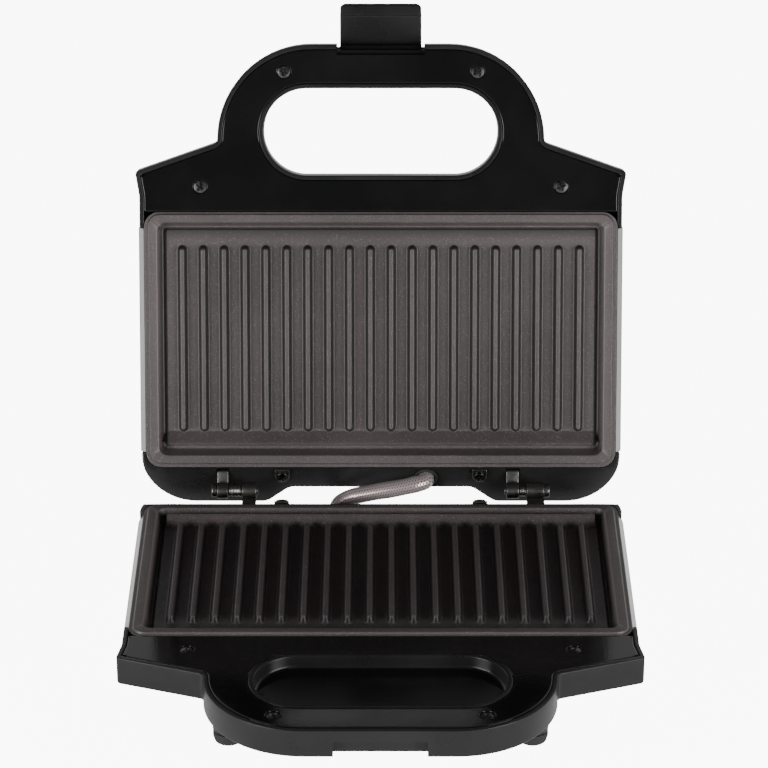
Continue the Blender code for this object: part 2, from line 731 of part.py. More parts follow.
def hinge_bracket(name, frame, span):
    """Steel strap with a rolled knuckle at one end and a screwed foot at the other."""
    strap = [
        (0.0, -KNUCKLE_RADIUS, 0.0),
        (-STRAP_REACH + STRAP_THICK, -KNUCKLE_RADIUS, 0.4),
        (-STRAP_REACH + STRAP_THICK, -STRAP_DROP, 2.0),
        (-STRAP_FOOT, -STRAP_DROP, 0.0),
        (-STRAP_FOOT, -STRAP_DROP + STRAP_THICK, 0.0),
        (-STRAP_REACH, -STRAP_DROP + STRAP_THICK, 0.4),
        (-STRAP_REACH, -KNUCKLE_RADIUS + STRAP_THICK, 2.0),
        (0.0, -KNUCKLE_RADIUS + STRAP_THICK, 0.0),
    ]
    bracket = prism(rounded(strap), "X", *span)
    bracket = join(bracket, prism(circle(KNUCKLE_RADIUS, 16), "X", *span))
    bracket = cut(bracket, prism(circle(PIN_RADIUS + GAP, 12), "X", span[0] - 1.0, span[1] + 1.0))
    middle = (span[0] + span[1]) / 2
    hole = circle(SCREW_RADIUS + GAP, 8, (middle, -STRAP_SCREW))
    bracket = cut(bracket, prism(hole, "Z", -STRAP_DROP - 1.0, -STRAP_DROP + 3.0))
    return place(bracket, name, dark_metal(), frame)


def slope_matrix(x):
    """Frame on the slope: its y runs down the slope, its z stands out of it."""
    turn_down = Matrix.Rotation(math.radians(-REAR_SLOPE), 4, "X")
    return Matrix.Translation(Vector((x, -SLOPE_START, FACE_LEVEL)) * MM) @ turn_down


def exit_matrix():
    """Frame of the lid's sleeve hole, square to the slope."""
    x, reach = LID_EXIT
    turn_down = Matrix.Rotation(math.radians(-REAR_SLOPE), 4, "X")
    return Matrix.Translation(Vector((-x, -reach, slope_level(-reach))) * MM) @ turn_down


def plate_clips(prefix, frame):
    """Sheet clips on the slope that hold the plate's rear flange, with their screws."""
    for side, word in ((-1, "1"), (1, "2")):
        corners = [(-CLIP_HALF, GAP, 0.0), (CLIP_HALF, GAP, 0.0),
                   (CLIP_HALF, CLIP_LENGTH, CLIP_HALF - 0.01), (-CLIP_HALF, CLIP_LENGTH, CLIP_HALF - 0.01)]
        clip = prism(rounded(corners), "Z", GAP, GAP + 1.2)
        centre = (0.0, CLIP_LENGTH - CLIP_HALF)
        clip = cut(clip, prism(circle(SCREW_RADIUS + GAP, 8, centre), "Z", -5.0, 5.0))
        clip.data.transform(slope_matrix(side * CLIP_X))
        place(clip, f"{prefix}_plate_clip_{word}", dark_metal(), frame)
        top = 2 * GAP + 1.2 + SCREW_HEAD_HEIGHT
        screw(f"{prefix}_clip_screw_{word}", frame, centre, top, 7.0, slope_matrix(side * CLIP_X))


def grommet(name, frame, matrix, bore, flange, depth):
    """Rubber bush with a flange outside the wall, its bore along z of a matrix."""
    outer = bore + GROMMET_WALL
    profile = [(outer, -depth), (outer, GAP), (flange, GAP), (flange, GAP + 1.0)]
    solid = turned(profile, (0.0, 0.0, 0.0))
    solid = cut(solid, turned([(bore, -depth - 1.0), (bore, 5.0)], (0.0, 0.0, 0.0)))
    solid.data.transform(matrix)
    return place(solid, name, paint("black_rubber", (0.015, 0.015, 0.015), 0.7), frame)


def half_pieces(word, plate_word, frame, is_lid):
    """Everything that the two halves share."""
    handle_housing(f"{word}_handle_housing", frame, is_lid)
    handle_cover(f"{word}_handle_cover", frame, is_lid)
    hinge_housing(f"{word}_hinge_housing", frame, is_lid)
    steel_wrap(f"{word}_steel_wrap", frame, is_lid)
    grill_plate(f"{plate_word}_grill_plate", frame)
    heating_element(f"{plate_word}_heating_element", frame)
    reflector(f"{plate_word}_reflector", frame)
    places = [(side * x, -reach) for x, reach in COVER_SCREWS for side in (-1, 1)]
    for number, centre in enumerate(places, 1):
        screw(f"{word}_cover_screw_{number}", frame, centre, FACE_LEVEL - 0.1, 8.0)
    for number, span in enumerate(bracket_spans(is_lid), 1):
        hinge_bracket(f"{word}_hinge_bracket_{number}", frame, span)
        centre = ((span[0] + span[1]) / 2, -STRAP_SCREW)
        top = -STRAP_DROP + STRAP_THICK + GAP + SCREW_HEAD_HEIGHT
        screw(f"{word}_bracket_screw_{number}", frame, centre, top, 6.0)
    plate_clips(word, frame)


# Pieces of the base

def hinge_pins(frame):
    """Pin and spacer of each hinge."""
    for hinge, word in ((LEFT_HINGE, "left"), (RIGHT_HINGE, "right")):
        low = min(hinge["lid"][0], hinge["base"][0])
        high = max(hinge["lid"][1], hinge["base"][1])
        if hinge["head"] < 0:
            profile = [(PIN_HEAD_RADIUS, low - 2.8), (PIN_HEAD_RADIUS, low - GAP),
                       (PIN_RADIUS, low - GAP), (PIN_RADIUS, high + 1.0)]
        else:
            profile = [(PIN_RADIUS, low - 1.0), (PIN_RADIUS, high + GAP),
                       (PIN_HEAD_RADIUS, high + GAP), (PIN_HEAD_RADIUS, high + 2.8)]
        pin = turned(profile, (0.0, 0.0, 0.0), "X")
        place(pin, f"hinge_pin_{word}", dark_metal(), frame)
        inner_ends = (min(hinge["lid"][1], hinge["base"][1]), max(hinge["lid"][0], hinge["base"][0]))
        span = (inner_ends[0] + GAP, inner_ends[1] - GAP)
        spacer = prism(circle(3.0, 12), "X", *span)
        spacer = cut(spacer, prism(circle(PIN_RADIUS + GAP, 12), "X", span[0] - 1.0, span[1] + 1.0))
        place(spacer, f"hinge_spacer_{word}", dark_metal(), frame)


def feet(frame):
    """Rubber feet with a stem pressed into each leg."""
    top = FOOT_HEIGHT
    profile = [(FOOT_RADIUS - 2.2, 0.0), (FOOT_RADIUS - 0.7, 0.6), (FOOT_RADIUS, 2.2), (FOOT_RADIUS, top),
               (STEM_RADIUS, top), (STEM_RADIUS, top + 6.0)]
    for row, (x, reach) in (("front", FRONT_FEET), ("rear", REAR_FEET)):
        for side, word in ((-1, "left"), (1, "right")):
            foot = turned(profile, (side * x, -reach, -AXIS_HEIGHT), count=12)
            place(foot, f"foot_{row}_{word}", paint("black_rubber", (0.015, 0.015, 0.015), 0.7), frame)


def base_electrics(frame):
    """Thermostat, thermal fuse, terminal block and the cord's strain relief."""
    ceramic = paint("ceramic", (0.75, 0.72, 0.66), 0.6)
    top = PLATE_UNDERSIDE - GAP
    thermostat = turned([(8.0, top - 5.0), (8.0, top), (5.0, top)], (0.0, -76.0, 0.0))
    thermostat = join(thermostat, box((-12.0, 12.0), (-79.0, -73.0), (top - 8.5, top - 4.0)))
    place(thermostat, "thermostat", ceramic, frame)
    fuse = prism(circle(2.2, 12, (-54.0, top - 3.0)), "X", 24.0, 46.0)
    place(fuse, "thermal_fuse", paint("fuse_can", (0.55, 0.54, 0.5), 0.35, 1.0), frame)
    floor = -BELLY_DEPTH + 3.0
    block = box((-7.0, 17.0), (-13.5, -5.5), (floor, floor + 9.0), "block")
    for x in (-3.0, 5.0, 13.0):
        block = cut(block, prism(circle(2.2, 8, (x, -9.5)), "Z", floor + 3.0, floor + 14.0))
    place(block, "terminal_block", ceramic, frame)
    outward = Matrix.Rotation(math.radians(-90.0), 4, "X")
    inlet = Matrix.Translation(Vector((CORD_INLET[0], 0.0, CORD_INLET[1])) * MM) @ outward
    bore = CORD_HOLE
    neck = bore + GLAND_WALL
    profile = [(neck, -4.0), (neck, GAP), (neck + 1.8, GAP), (neck + 1.8, 2.0),
               (bore + 3.0, 3.0), (bore + 1.4, 11.0)]
    gland = turned(profile, (0.0, 0.0, 0.0), count=14)
    gland = cut(gland, turned([(bore, -6.0), (bore, 14.0)], (0.0, 0.0, 0.0), count=14))
    gland.data.transform(inlet)
    place(gland, "cord_gland", paint("black_rubber", (0.015, 0.015, 0.015), 0.7), frame)


def base_grommet(frame):
    """Bush where the wire sleeve enters the base."""
    outward = Matrix.Rotation(math.radians(-90.0), 4, "X")
    matrix = Matrix.Translation(Vector((BASE_EXIT[0], 0.0, BASE_EXIT[1])) * MM) @ outward
    grommet("base_sleeve_grommet", frame, matrix, SLEEVE_RADIUS + GAP, SLEEVE_RADIUS + 3.0, 3.0)


# Pieces of the lid

def lid_extras(frame):
    """Indicator lenses with their lamp holder, the latch's pin and the sleeve's bush."""
    for side, word, colour in ((1, "power", (0.6, 0.02, 0.01)), (-1, "ready", (0.02, 0.45, 0.05))):
        profile = [(LENS_RADIUS - 1.4, -1.6), (LENS_RADIUS, -0.9), (LENS_RADIUS, 4.0),
                   (2.6, 4.0), (2.6, 5.0)]
        lens = turned(profile, (side * LENS_X, -LENS_REACH, -BELLY_DEPTH))
        place(lens, f"{word}_indicator_lens", paint(f"{word}_lens", colour, 0.08, 0.0, 0.6), frame)
    floor = -BELLY_DEPTH + 5.3
    holder = box((-20.0, 20.0), (-LENS_REACH - 4.5, -LENS_REACH + 4.5), (floor, floor + 3.5))
    place(holder, "indicator_lamp_holder", paint("ceramic", (0.75, 0.72, 0.66), 0.6), frame)
    pin = circle(LATCH_PIN_RADIUS, 10, (-LATCH_PIVOT[0], LATCH_PIVOT[1]))
    half = LID_NOTCH + WALL - 0.2
    place(prism(pin, "X", -half, half), "latch_pin", dark_metal(), frame)
    grommet("lid_sleeve_grommet", frame, exit_matrix(), SLEEVE_RADIUS + GAP, SLEEVE_RADIUS + 1.7, 3.0)


def latch(frame):
    """Clip on the lid's front edge: barrel, set-back plate and hook lip."""
    low, high = LATCH_PLATE
    lip, tip = LATCH_LIP
    hook = [
        (1.6, -1.2, 0.0),
        (-1.6, -1.2, 0.3),
        (-1.6, high, 0.5),
        (-lip, high, 0.8),
        (-lip, tip, 0.5),
        (-LATCH_LENGTH, tip, 1.2),
        (-LATCH_LENGTH, low, 2.2),
        (1.6, low, 1.2),
    ]
    clip = prism(rounded(list(reversed(hook))), "X", -LATCH_HALF, LATCH_HALF)
    clip = join(clip, prism(circle(LATCH_BARREL, 14), "X", -LATCH_HALF, LATCH_HALF))
    clip = cut(clip, prism(circle(LATCH_PIN_RADIUS + GAP, 10), "X", -LATCH_HALF - 1.0, LATCH_HALF + 1.0))
    corners = mirrored([(LATCH_HALF, -LATCH_LENGTH, 3.0), (LATCH_HALF, 6.0, 0.0)])
    clip = common(clip, prism(rounded(corners), "Z", -20.0, 20.0))
    return place(clip, "latch", satin_plastic(), frame)


# The sleeve between the halves

SLEEVE_ROUTE = (
    (22.6, 12.7, 6.3),
    (22.6, 9.9, 5.25),
    (22.6, 7.05, 4.23),
    (21.9, 3.7, 3.2),
    (17.6, 1.2, 2.9),
    (9.2, 0.4, 1.2),
    (-4.4, 1.4, -2.0),
    (-14.5, 3.6, -5.6),
    (-20.3, 5.9, -10.2),
    (-22.5, 6.3, -14.8),
    (-22.8, 3.6, -18.6),
    (-22.8, -0.5, -19.5),
    (-22.8, -4.0, -19.5),
    (-22.8, -8.0, -19.5),
)


def smooth_route(points, steps=2):
    """Catmull-Rom curve through hand-picked points."""
    route = [Vector(point) for point in points]
    padded = [route[0] * 2 - route[1]] + route + [route[-1] * 2 - route[-2]]
    result = []
    for first, second, third, fourth in zip(padded, padded[1:], padded[2:], padded[3:]):
        for step in range(steps):
            t = step / steps
            linear = (third - first) * t
            square = (first * 2 - second * 5 + third * 4 - fourth) * t * t
            cube = (second * 3 - first - third * 3 + fourth) * t * t * t
            result.append((second * 2 + linear + square + cube) / 2)
    result.append(route[-1])
    return result


def wire_sleeve(frame):
    """Heat-resistant sleeve that carries the lid's wires across the hinge."""
    sleeve = tube("wire_sleeve", smooth_route(SLEEVE_ROUTE), SLEEVE_RADIUS)
    return place(sleeve, "wire_sleeve", paint("sleeve_weave", (0.52, 0.44, 0.43), 0.35, 0.6), frame)


# Assembly

def centre_on_origin(frames):
    """Move the frames so that the whole stands on z = 0, centred in x and y."""
    bpy.context.view_layer.update()
    corners = [solid.matrix_world @ vertex.co for solid in bpy.data.objects if solid.type == "MESH"
               for vertex in solid.data.vertices]
    low = Vector([min(corner[axis] for corner in corners) for axis in range(3)])
    high = Vector([max(corner[axis] for corner in corners) for axis in range(3)])
    shift = Vector((0.0, -(low.y + high.y) / 2, -low.z))
    for frame in frames:
        frame.location += shift
    bpy.context.view_layer.update()


def build():
    """Clear the scene and build every piece."""
    for leftover in list(bpy.data.objects):
        bpy.data.objects.remove(leftover)
    axis_place = Matrix.Translation((0.0, 0.0, AXIS_HEIGHT * MM))
    swing = Matrix.Rotation(math.radians(-LID_OPEN), 4, "X")
    turn_over = Matrix.Rotation(math.radians(180.0), 4, "Y")
    base_frame = frame_empty("base_frame", axis_place)
    lid_frame = frame_empty("lid_frame", axis_place @ swing @ turn_over)
    half_pieces("base", "lower", base_frame, False)
    half_pieces("lid", "upper", lid_frame, True)
    hinge_pins(base_frame)
    feet(base_frame)
    base_electrics(base_frame)
    base_grommet(base_frame)
    wire_sleeve(base_frame)
    lid_extras(lid_frame)
    latch_frame = frame_empty("latch_frame", Matrix.Identity(4))
    latch_frame.parent = lid_frame
    latch_frame.location = Vector((0.0, -LATCH_PIVOT[0], LATCH_PIVOT[1])) * MM
    latch(latch_frame)
    centre_on_origin((base_frame, lid_frame))


build()
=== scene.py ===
import json
import math

import bmesh
import bpy
import numpy as np
from mathutils import Matrix, Vector
from mathutils.geometry import tessellate_polygon


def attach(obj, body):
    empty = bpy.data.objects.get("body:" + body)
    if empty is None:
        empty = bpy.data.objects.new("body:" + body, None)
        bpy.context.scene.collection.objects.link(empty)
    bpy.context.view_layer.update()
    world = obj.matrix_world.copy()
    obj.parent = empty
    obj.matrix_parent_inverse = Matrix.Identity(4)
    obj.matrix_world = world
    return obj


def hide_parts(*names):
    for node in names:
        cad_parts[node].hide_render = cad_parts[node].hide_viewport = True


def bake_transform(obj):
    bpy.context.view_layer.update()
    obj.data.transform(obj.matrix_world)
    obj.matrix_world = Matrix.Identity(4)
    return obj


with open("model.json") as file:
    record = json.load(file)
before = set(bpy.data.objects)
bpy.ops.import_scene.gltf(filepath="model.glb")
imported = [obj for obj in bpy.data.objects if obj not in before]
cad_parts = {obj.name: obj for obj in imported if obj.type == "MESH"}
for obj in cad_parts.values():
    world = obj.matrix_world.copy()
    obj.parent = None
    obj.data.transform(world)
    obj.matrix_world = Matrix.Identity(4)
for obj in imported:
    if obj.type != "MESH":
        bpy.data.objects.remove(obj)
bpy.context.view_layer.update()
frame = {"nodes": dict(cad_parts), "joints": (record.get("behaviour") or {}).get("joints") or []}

print("frame loaded:", len(frame["nodes"]), "nodes")

# Each half is drawn in millimetres in its own half frame: x to the side, y to the rear with the
# hinge axis at 0, z towards the other half with the parting plane at 0.
mm = 0.001
hinge = next(joint for joint in frame["joints"] if joint["name"] == "lid_hinge")
axisPlace = Matrix.Translation(hinge["pos_m"])
swing = Matrix.Rotation(-math.radians(hinge["range_deg"][1]), 4, "X")
halfPlace = {
    "base": axisPlace @ Matrix.Scale(mm, 4),
    "lid": axisPlace @ swing @ Matrix.Rotation(math.pi, 4, "Y") @ Matrix.Scale(mm, 4),
}


def moved(points, matrix):
    # every point turned and shifted by one matrix
    grid = np.array(matrix)
    return points @ grid[:3, :3].T + grid[:3, 3]


def readRows(items, key):
    # one three-number property of every vertex or face as rows
    values = np.zeros(len(items) * 3, np.float32)
    items.foreach_get(key, values)
    return values.reshape(-1, 3).astype(float)


def localSpots(mesh, half):
    # a mesh's vertices in its half frame, in millimetres
    return moved(readRows(mesh.vertices, "co"), halfPlace[half].inverted())


def localBox(node, half):
    # lowest and highest corner of a CAD piece in its half frame, in millimetres
    spots = localSpots(frame["nodes"][node].data, half)
    return spots.min(0), spots.max(0)


def outline(corners, closed=True, step=2.0, arcStep=6.0):
    # straight runs joined by arcs: an arc's centre lies a radius to the side of the run before it,
    # and each point keeps the direction square to the line, to its left
    spot = np.array([corner[:2] for corner in corners], float)
    radius = np.array([corner[2] for corner in corners], float)
    into = spot - np.roll(spot, 1, 0)
    into /= np.linalg.norm(into, axis=1)[:, None]
    if not closed:
        into[0] = into[1]
    out = np.roll(into, -1, 0)
    if not closed:
        out[-1] = into[-1]
    angle = np.arctan2(into[:, 0] * out[:, 1] - into[:, 1] * out[:, 0], (into * out).sum(1))
    reach = radius * np.tan(np.abs(angle) / 2)
    left = np.stack((-into[:, 1], into[:, 0]), 1)
    begin = spot - into * reach[:, None]
    end = spot + out * reach[:, None]
    centre = begin + left * (radius * np.sign(angle))[:, None]
    points, normals = [], []
    for index in range(len(spot)):
        pieces = max(1, math.ceil(abs(math.degrees(angle[index])) / arcStep))
        turns = np.linspace(0.0, angle[index], pieces + 1)
        across, along = np.cos(turns)[:, None], np.sin(turns)[:, None]
        spoke = begin[index] - centre[index]
        points.append(centre[index] + across * spoke + along * np.array((-spoke[1], spoke[0])))
        normals.append(across * left[index] + along * np.array((-left[index][1], left[index][0])))
        if closed or index < len(spot) - 1:
            start, stop = end[index], begin[(index + 1) % len(spot)]
            pieces = max(1, math.ceil(np.linalg.norm(stop - start) / step))
            share = np.linspace(0.0, 1.0, pieces + 1)[1:-1, None]
            points.append(start + (stop - start) * share)
            normals.append(np.repeat(normals[-1][-1:], len(share), 0))
    points, normals = np.vstack(points), np.vstack(normals)
    ahead = np.roll(points, -1, 0) if closed else np.vstack((points[1:], points[-1:] + 1.0))
    apart = np.linalg.norm(ahead - points, axis=1) > 1e-6
    return points[apart], normals[apart]


def softLine(*corners, arcStep=15.0):
    # an open line of (a, b, radius) corners as points
    return outline(corners, closed=False, step=1000.0, arcStep=arcStep)[0]


def plug(radius, half, edge=0.0):
    # half section of a plain pin about the middle of its length, its ends rounded by edge
    return softLine((0.0, -half, 0.0), (radius, -half, edge), (radius, half, edge),
                    (0.0, half, 0.0))


def mirrored(right):
    # whole outline from its corners at positive x, listed anticlockwise
    return right + [(-a, b, radius) for a, b, radius in reversed(right)]


def gridFaces(rows, columns, wrapRows=False, wrapColumns=True):
    # quads between neighbouring rows and columns of a grid
    row = np.arange(rows if wrapRows else rows - 1)
    column = np.arange(columns if wrapColumns else columns - 1)
    row, column = np.meshgrid(row, column, indexing="ij")
    nextRow, nextColumn = (row + 1) % rows, (column + 1) % columns
    corners = (row * columns + column, row * columns + nextColumn,
               nextRow * columns + nextColumn, nextRow * columns + column)
    return np.stack(corners, -1).reshape(-1, 4).tolist()


def gridPatch(grid, wrapRows=False, wrapColumns=True, capRows=False):
    # surface over a grid of points, rows by columns; capRows closes its first and last row
    rows, columns = grid.shape[:2]
    faces = gridFaces(rows, columns, wrapRows, wrapColumns)
    if capRows:
        faces += [list(range(columns)), list(range((rows - 1) * columns, rows * columns))]
    return grid.reshape(-1, 3), faces


def carried(path, profile):
    # the path's points moved along their normals by the profile's first value, at its second height
    points, normals = path
    flat = points[None] + normals[None] * profile[:, 0][:, None, None]
    height = np.broadcast_to(profile[:, 1][:, None, None], (*flat.shape[:2], 1))
    return np.concatenate((flat, height), 2)


def filled(*rings):
    # flat area inside the first ring and outside the others
    faces = tessellate_polygon([[Vector(point) for point in ring] for ring in rings])
    return np.vstack(rings), [list(face) for face in faces]


def turned(profile, count=64, matrix=None, centre=(0.0, 0.0, 0.0), axis="Z"):
    # the profile's radius and height swept round an axis
    turns = np.arange(count) * math.tau / count
    radius, height = profile[:, 0][:, None], profile[:, 1][:, None]
    across, up = radius * np.cos(turns), radius * np.sin(turns)
    high = np.broadcast_to(height, across.shape)
    order = {"Z": (across, up, high), "X": (high, across, up), "Y": (up, high, across)}[axis]
    grid = np.stack(order, -1) + np.array(centre)
    vertices, faces = gridPatch(grid, capRows=True)
    return (vertices if matrix is None else moved(vertices, matrix)), faces


def bar(section, low, high, edge=0.3, axis="X"):
    # closed section (a, b, radius) carried from low to high with rounded ends
    path = outline(section, step=50.0, arcStep=10.0)
    rise = edge * (1.0 - np.cos(np.linspace(0.0, math.pi / 2, 5)))
    inwards = edge * (1.0 - np.sin(np.linspace(0.0, math.pi / 2, 5)))
    profile = np.stack((np.r_[inwards, inwards[::-1]], np.r_[low + rise, high - rise[::-1]]), 1)
    grid = carried(path, profile)
    if axis == "X":
        grid = grid[..., [2, 0, 1]]
    if axis == "Y":
        grid = grid[..., [0, 2, 1]]
    vertices, faces = gridPatch(grid)
    ends = [filled(grid[0]), filled(grid[-1])]
    return joined((vertices, faces), *ends)


def block(low, high, edge=0.3):
    # upright block with rounded upright and level edges
    section = [
        (low[0], low[1], edge),
        (high[0], low[1], edge),
        (high[0], high[1], edge),
        (low[0], high[1], edge),
    ]
    return bar(section, low[2], high[2], edge, "Z")


def joined(*patches):
    # several surfaces as one list of points and faces
    vertices, faces, start = [], [], 0
    for spots, loops in patches:
        vertices.append(spots)
        faces += [[start + corner for corner in loop] for loop in loops]
        start += len(spots)
    return np.vstack(vertices), faces


def roundedBox(half, near, far, radius, low, high):
    # upright block whose plan has rounded corners
    plan = outline(mirrored([(half, near, radius), (half, far, radius)]), step=400.0)
    grid = carried(plan, np.array(((0.0, low), (0.0, high))))
    return joined(gridPatch(grid), filled(grid[0]), filled(grid[-1]))


def cleanMesh(name, patch, matrix, sharp):
    # mesh in world metres with its seams merged and its faces turned outwards
    mesh = bpy.data.meshes.new(name)
    mesh.from_pydata(moved(patch[0], matrix).tolist(), [], patch[1])
    builder = bmesh.new()
    builder.from_mesh(mesh)
    bmesh.ops.remove_doubles(builder, verts=builder.verts, dist=4e-6)
    bmesh.ops.dissolve_degenerate(builder, edges=builder.edges, dist=1e-6)
    bmesh.ops.recalc_face_normals(builder, faces=builder.faces)
    builder.to_mesh(mesh)
    builder.free()
    mesh.shade_smooth()
    mesh.set_sharp_from_angle(angle=math.radians(sharp))
    return mesh


def dress(piece, body, nodes, material):
    # material, CAD nodes that the piece stands for, body that it rides on
    piece.data.materials.clear()
    piece.data.materials.append(material)
    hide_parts(*nodes)
    if body:
        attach(piece, body)
    return piece


def make(name, patch, half, body, nodes, material, cutters=(), added=(), sharp=32.0):
    # finished piece from surfaces in a half frame, less its cutters, then with surfaces added
    mesh = cleanMesh(name, patch, halfPlace[half], sharp)
    piece = bpy.data.objects.new(name, mesh)
    bpy.context.collection.objects.link(piece)
    for cutter in cutters:
        tool = bpy.data.objects.new("tool", cleanMesh("tool", cutter, halfPlace[half], sharp))
        bpy.context.collection.objects.link(tool)
        step = piece.modifiers.new("cut", "BOOLEAN")
        step.operation = "DIFFERENCE"
        step.solver = "EXACT"
        step.object = tool
        graph = bpy.context.evaluated_depsgraph_get()
        result = bpy.data.meshes.new_from_object(piece.evaluated_get(graph))
        piece.modifiers.clear()
        piece.data = result
        bpy.data.objects.remove(tool)
    for extra in added:
        builder = bmesh.new()
        builder.from_mesh(piece.data)
        builder.from_mesh(cleanMesh("extra", extra, halfPlace[half], sharp))
        builder.to_mesh(piece.data)
        builder.free()
    if cutters:
        piece.data.name = name
        piece.data.shade_smooth()
        piece.data.set_sharp_from_angle(angle=math.radians(sharp))
    return dress(piece, body, nodes, material)


def addNode(tree, kind, sockets=None, **settings):
    # new node with the values of its sockets and its settings
    node = tree.nodes.new(kind)
    for title, value in (sockets or {}).items():
        node.inputs[title].default_value = value
    for key, value in settings.items():
        setattr(node, key, value)
    return node


def shaderGroup(name, inputs, outputs):
    # empty node group with named float inputs and its outputs
    group = bpy.data.node_groups.new(name, "ShaderNodeTree")
    for title, value in inputs.items():
        socket = group.interface.new_socket(title, in_out="INPUT", socket_type="NodeSocketFloat")
        socket.default_value = value
    for title in outputs:
        group.interface.new_socket(title, in_out="OUTPUT", socket_type="NodeSocketFloat")
    return group, addNode(group, "NodeGroupInput"), addNode(group, "NodeGroupOutput")


def mathNode(tree, operation, first, second):
    # one sum of two sockets or numbers
    node = addNode(tree, "ShaderNodeMath", operation=operation)
    for place, value in enumerate((first, second)):
        if isinstance(value, (int, float)):
            node.inputs[place].default_value = value
        else:
            tree.links.new(value, node.inputs[place])
    return node.outputs[0]


def stretch(tree, value, low, high, newLow=0.0, newHigh=1.0):
    # a value between two limits stretched to two new ones
    limits = {"From Min": low, "From Max": high, "To Min": newLow, "To Max": newHigh}
    node = addNode(tree, "ShaderNodeMapRange", limits)
    tree.links.new(value, node.inputs["Value"])
    return node.outputs["Result"]


def noise(tree, vector, scale, detail=3.0, roughness=0.55):
    # cloudy noise whose scale is a number or a socket
    node = addNode(tree, "ShaderNodeTexNoise", {"Detail": detail, "Roughness": roughness})
    tree.links.new(vector, node.inputs["Vector"])
    if isinstance(scale, (int, float)):
        node.inputs["Scale"].default_value = scale
    else:
        tree.links.new(scale, node.inputs["Scale"])
    return node.outputs[0]


def mouldSkinGroup():
    # fine spark-eroded grain, and slow smudges from handling
    scales = {"Grain Scale": 2600.0, "Smudge Scale": 28.0}
    group, enter, leave = shaderGroup("mouldSkin", scales, ("Grain", "Smudge"))
    spot = addNode(group, "ShaderNodeTexCoord").outputs["Object"]
    grain = noise(group, spot, enter.outputs["Grain Scale"], 2.0)
    broad = noise(group, spot, enter.outputs["Smudge Scale"], 4.0, 0.62)
    group.links.new(stretch(group, grain, 0.3, 0.7), leave.inputs["Grain"])
    group.links.new(stretch(group, broad, 0.38, 0.68), leave.inputs["Smudge"])
    return group


def fleckGroup():
    # small pale flecks scattered through a coating, its orange peel, and slow changes of tone
    scales = {"Fleck Scale": 1500.0, "Peel Scale": 1100.0}
    group, enter, leave = shaderGroup("fleck", scales, ("Fleck", "Peel", "Tone"))
    spot = addNode(group, "ShaderNodeTexCoord").outputs["Object"]
    cells = addNode(group, "ShaderNodeTexVoronoi", feature="F1")
    group.links.new(spot, cells.inputs["Vector"])
    group.links.new(enter.outputs["Fleck Scale"], cells.inputs["Scale"])
    split = addNode(group, "ShaderNodeSeparateColor")
    group.links.new(cells.outputs["Color"], split.inputs[0])
    near = stretch(group, cells.outputs["Distance"], 0.42, 0.18)
    chosen = stretch(group, split.outputs[0], 0.55, 1.0)
    group.links.new(mathNode(group, "MULTIPLY", near, chosen), leave.inputs["Fleck"])
    group.links.new(noise(group, spot, enter.outputs["Peel Scale"], 3.0), leave.inputs["Peel"])
    group.links.new(stretch(group, noise(group, spot, 22.0, 3.0), 0.35, 0.65), leave.inputs["Tone"])
    return group


def brushedGroup():
    # long fine scratches along x, on a slow change of sheen
    scales = {"Length": 14.0, "Fineness": 5200.0}
    group, enter, leave = shaderGroup("brushed", scales, ("Lines", "Sheen"))
    spot = addNode(group, "ShaderNodeTexCoord").outputs["Object"]
    scale = addNode(group, "ShaderNodeCombineXYZ")
    group.links.new(enter.outputs["Length"], scale.inputs[0])
    group.links.new(enter.outputs["Fineness"], scale.inputs[1])
    group.links.new(enter.outputs["Fineness"], scale.inputs[2])
    drawn = addNode(group, "ShaderNodeVectorMath", operation="MULTIPLY")
    group.links.new(spot, drawn.inputs[0])
    group.links.new(scale.outputs[0], drawn.inputs[1])
    lines = noise(group, drawn.outputs[0], 1.0, 3.0, 0.7)
    group.links.new(stretch(group, lines, 0.3, 0.7), leave.inputs["Lines"])
    broad = noise(group, spot, 16.0, 2.0)
    group.links.new(stretch(group, broad, 0.35, 0.65), leave.inputs["Sheen"])
    return group


def tarnishGroup():
    # cloudy patches and small pits of plated or blackened steel
    scales = {"Cloud Scale": 260.0, "Pit Scale": 2400.0}
    group, enter, leave = shaderGroup("tarnish", scales, ("Cloud", "Pit"))
    spot = addNode(group, "ShaderNodeTexCoord").outputs["Object"]
    cloud = noise(group, spot, enter.outputs["Cloud Scale"], 4.0, 0.6)
    pit = noise(group, spot, enter.outputs["Pit Scale"], 2.0)
    group.links.new(stretch(group, cloud, 0.35, 0.7), leave.inputs["Cloud"])
    group.links.new(stretch(group, pit, 0.55, 0.75), leave.inputs["Pit"])
    return group


groups = {
    "mould": mouldSkinGroup(),
    "fleck": fleckGroup(),
    "brushed": brushedGroup(),
    "tarnish": tarnishGroup(),
}


def newMaterial(name, sockets):
    # Principled material with the values of its own sockets
    material = bpy.data.materials.new(name)
    material.use_nodes = True
    shader = material.node_tree.nodes["Principled BSDF"]
    for title, value in sockets.items():
        shader.inputs[title].default_value = value
    return material, material.node_tree, shader


def useGroup(tree, key, values=None):
    # one of the shared effects with its values
    node = addNode(tree, "ShaderNodeGroup")
    node.node_tree = groups[key]
    for title, value in (values or {}).items():
        node.inputs[title].default_value = value
    return node


def blendColour(tree, factor, first, second):
    # one colour or colour socket to another by a mask
    node = addNode(tree, "ShaderNodeMix", data_type="RGBA")
    tree.links.new(factor, node.inputs["Factor"])
    for place, colour in ((6, first), (7, second)):    # the colours are its sockets 6 and 7
        if isinstance(colour, tuple):
            node.inputs[place].default_value = (*colour, 1.0)
        else:
            tree.links.new(colour, node.inputs[place])
    return node.outputs[2]


def bump(tree, shader, height, strength, distance):
    # a height that tilts the shader's normal
    node = addNode(tree, "ShaderNodeBump", {"Strength": strength, "Distance": distance})
    tree.links.new(height, node.inputs["Height"])
    tree.links.new(node.outputs[0], shader.inputs["Normal"])


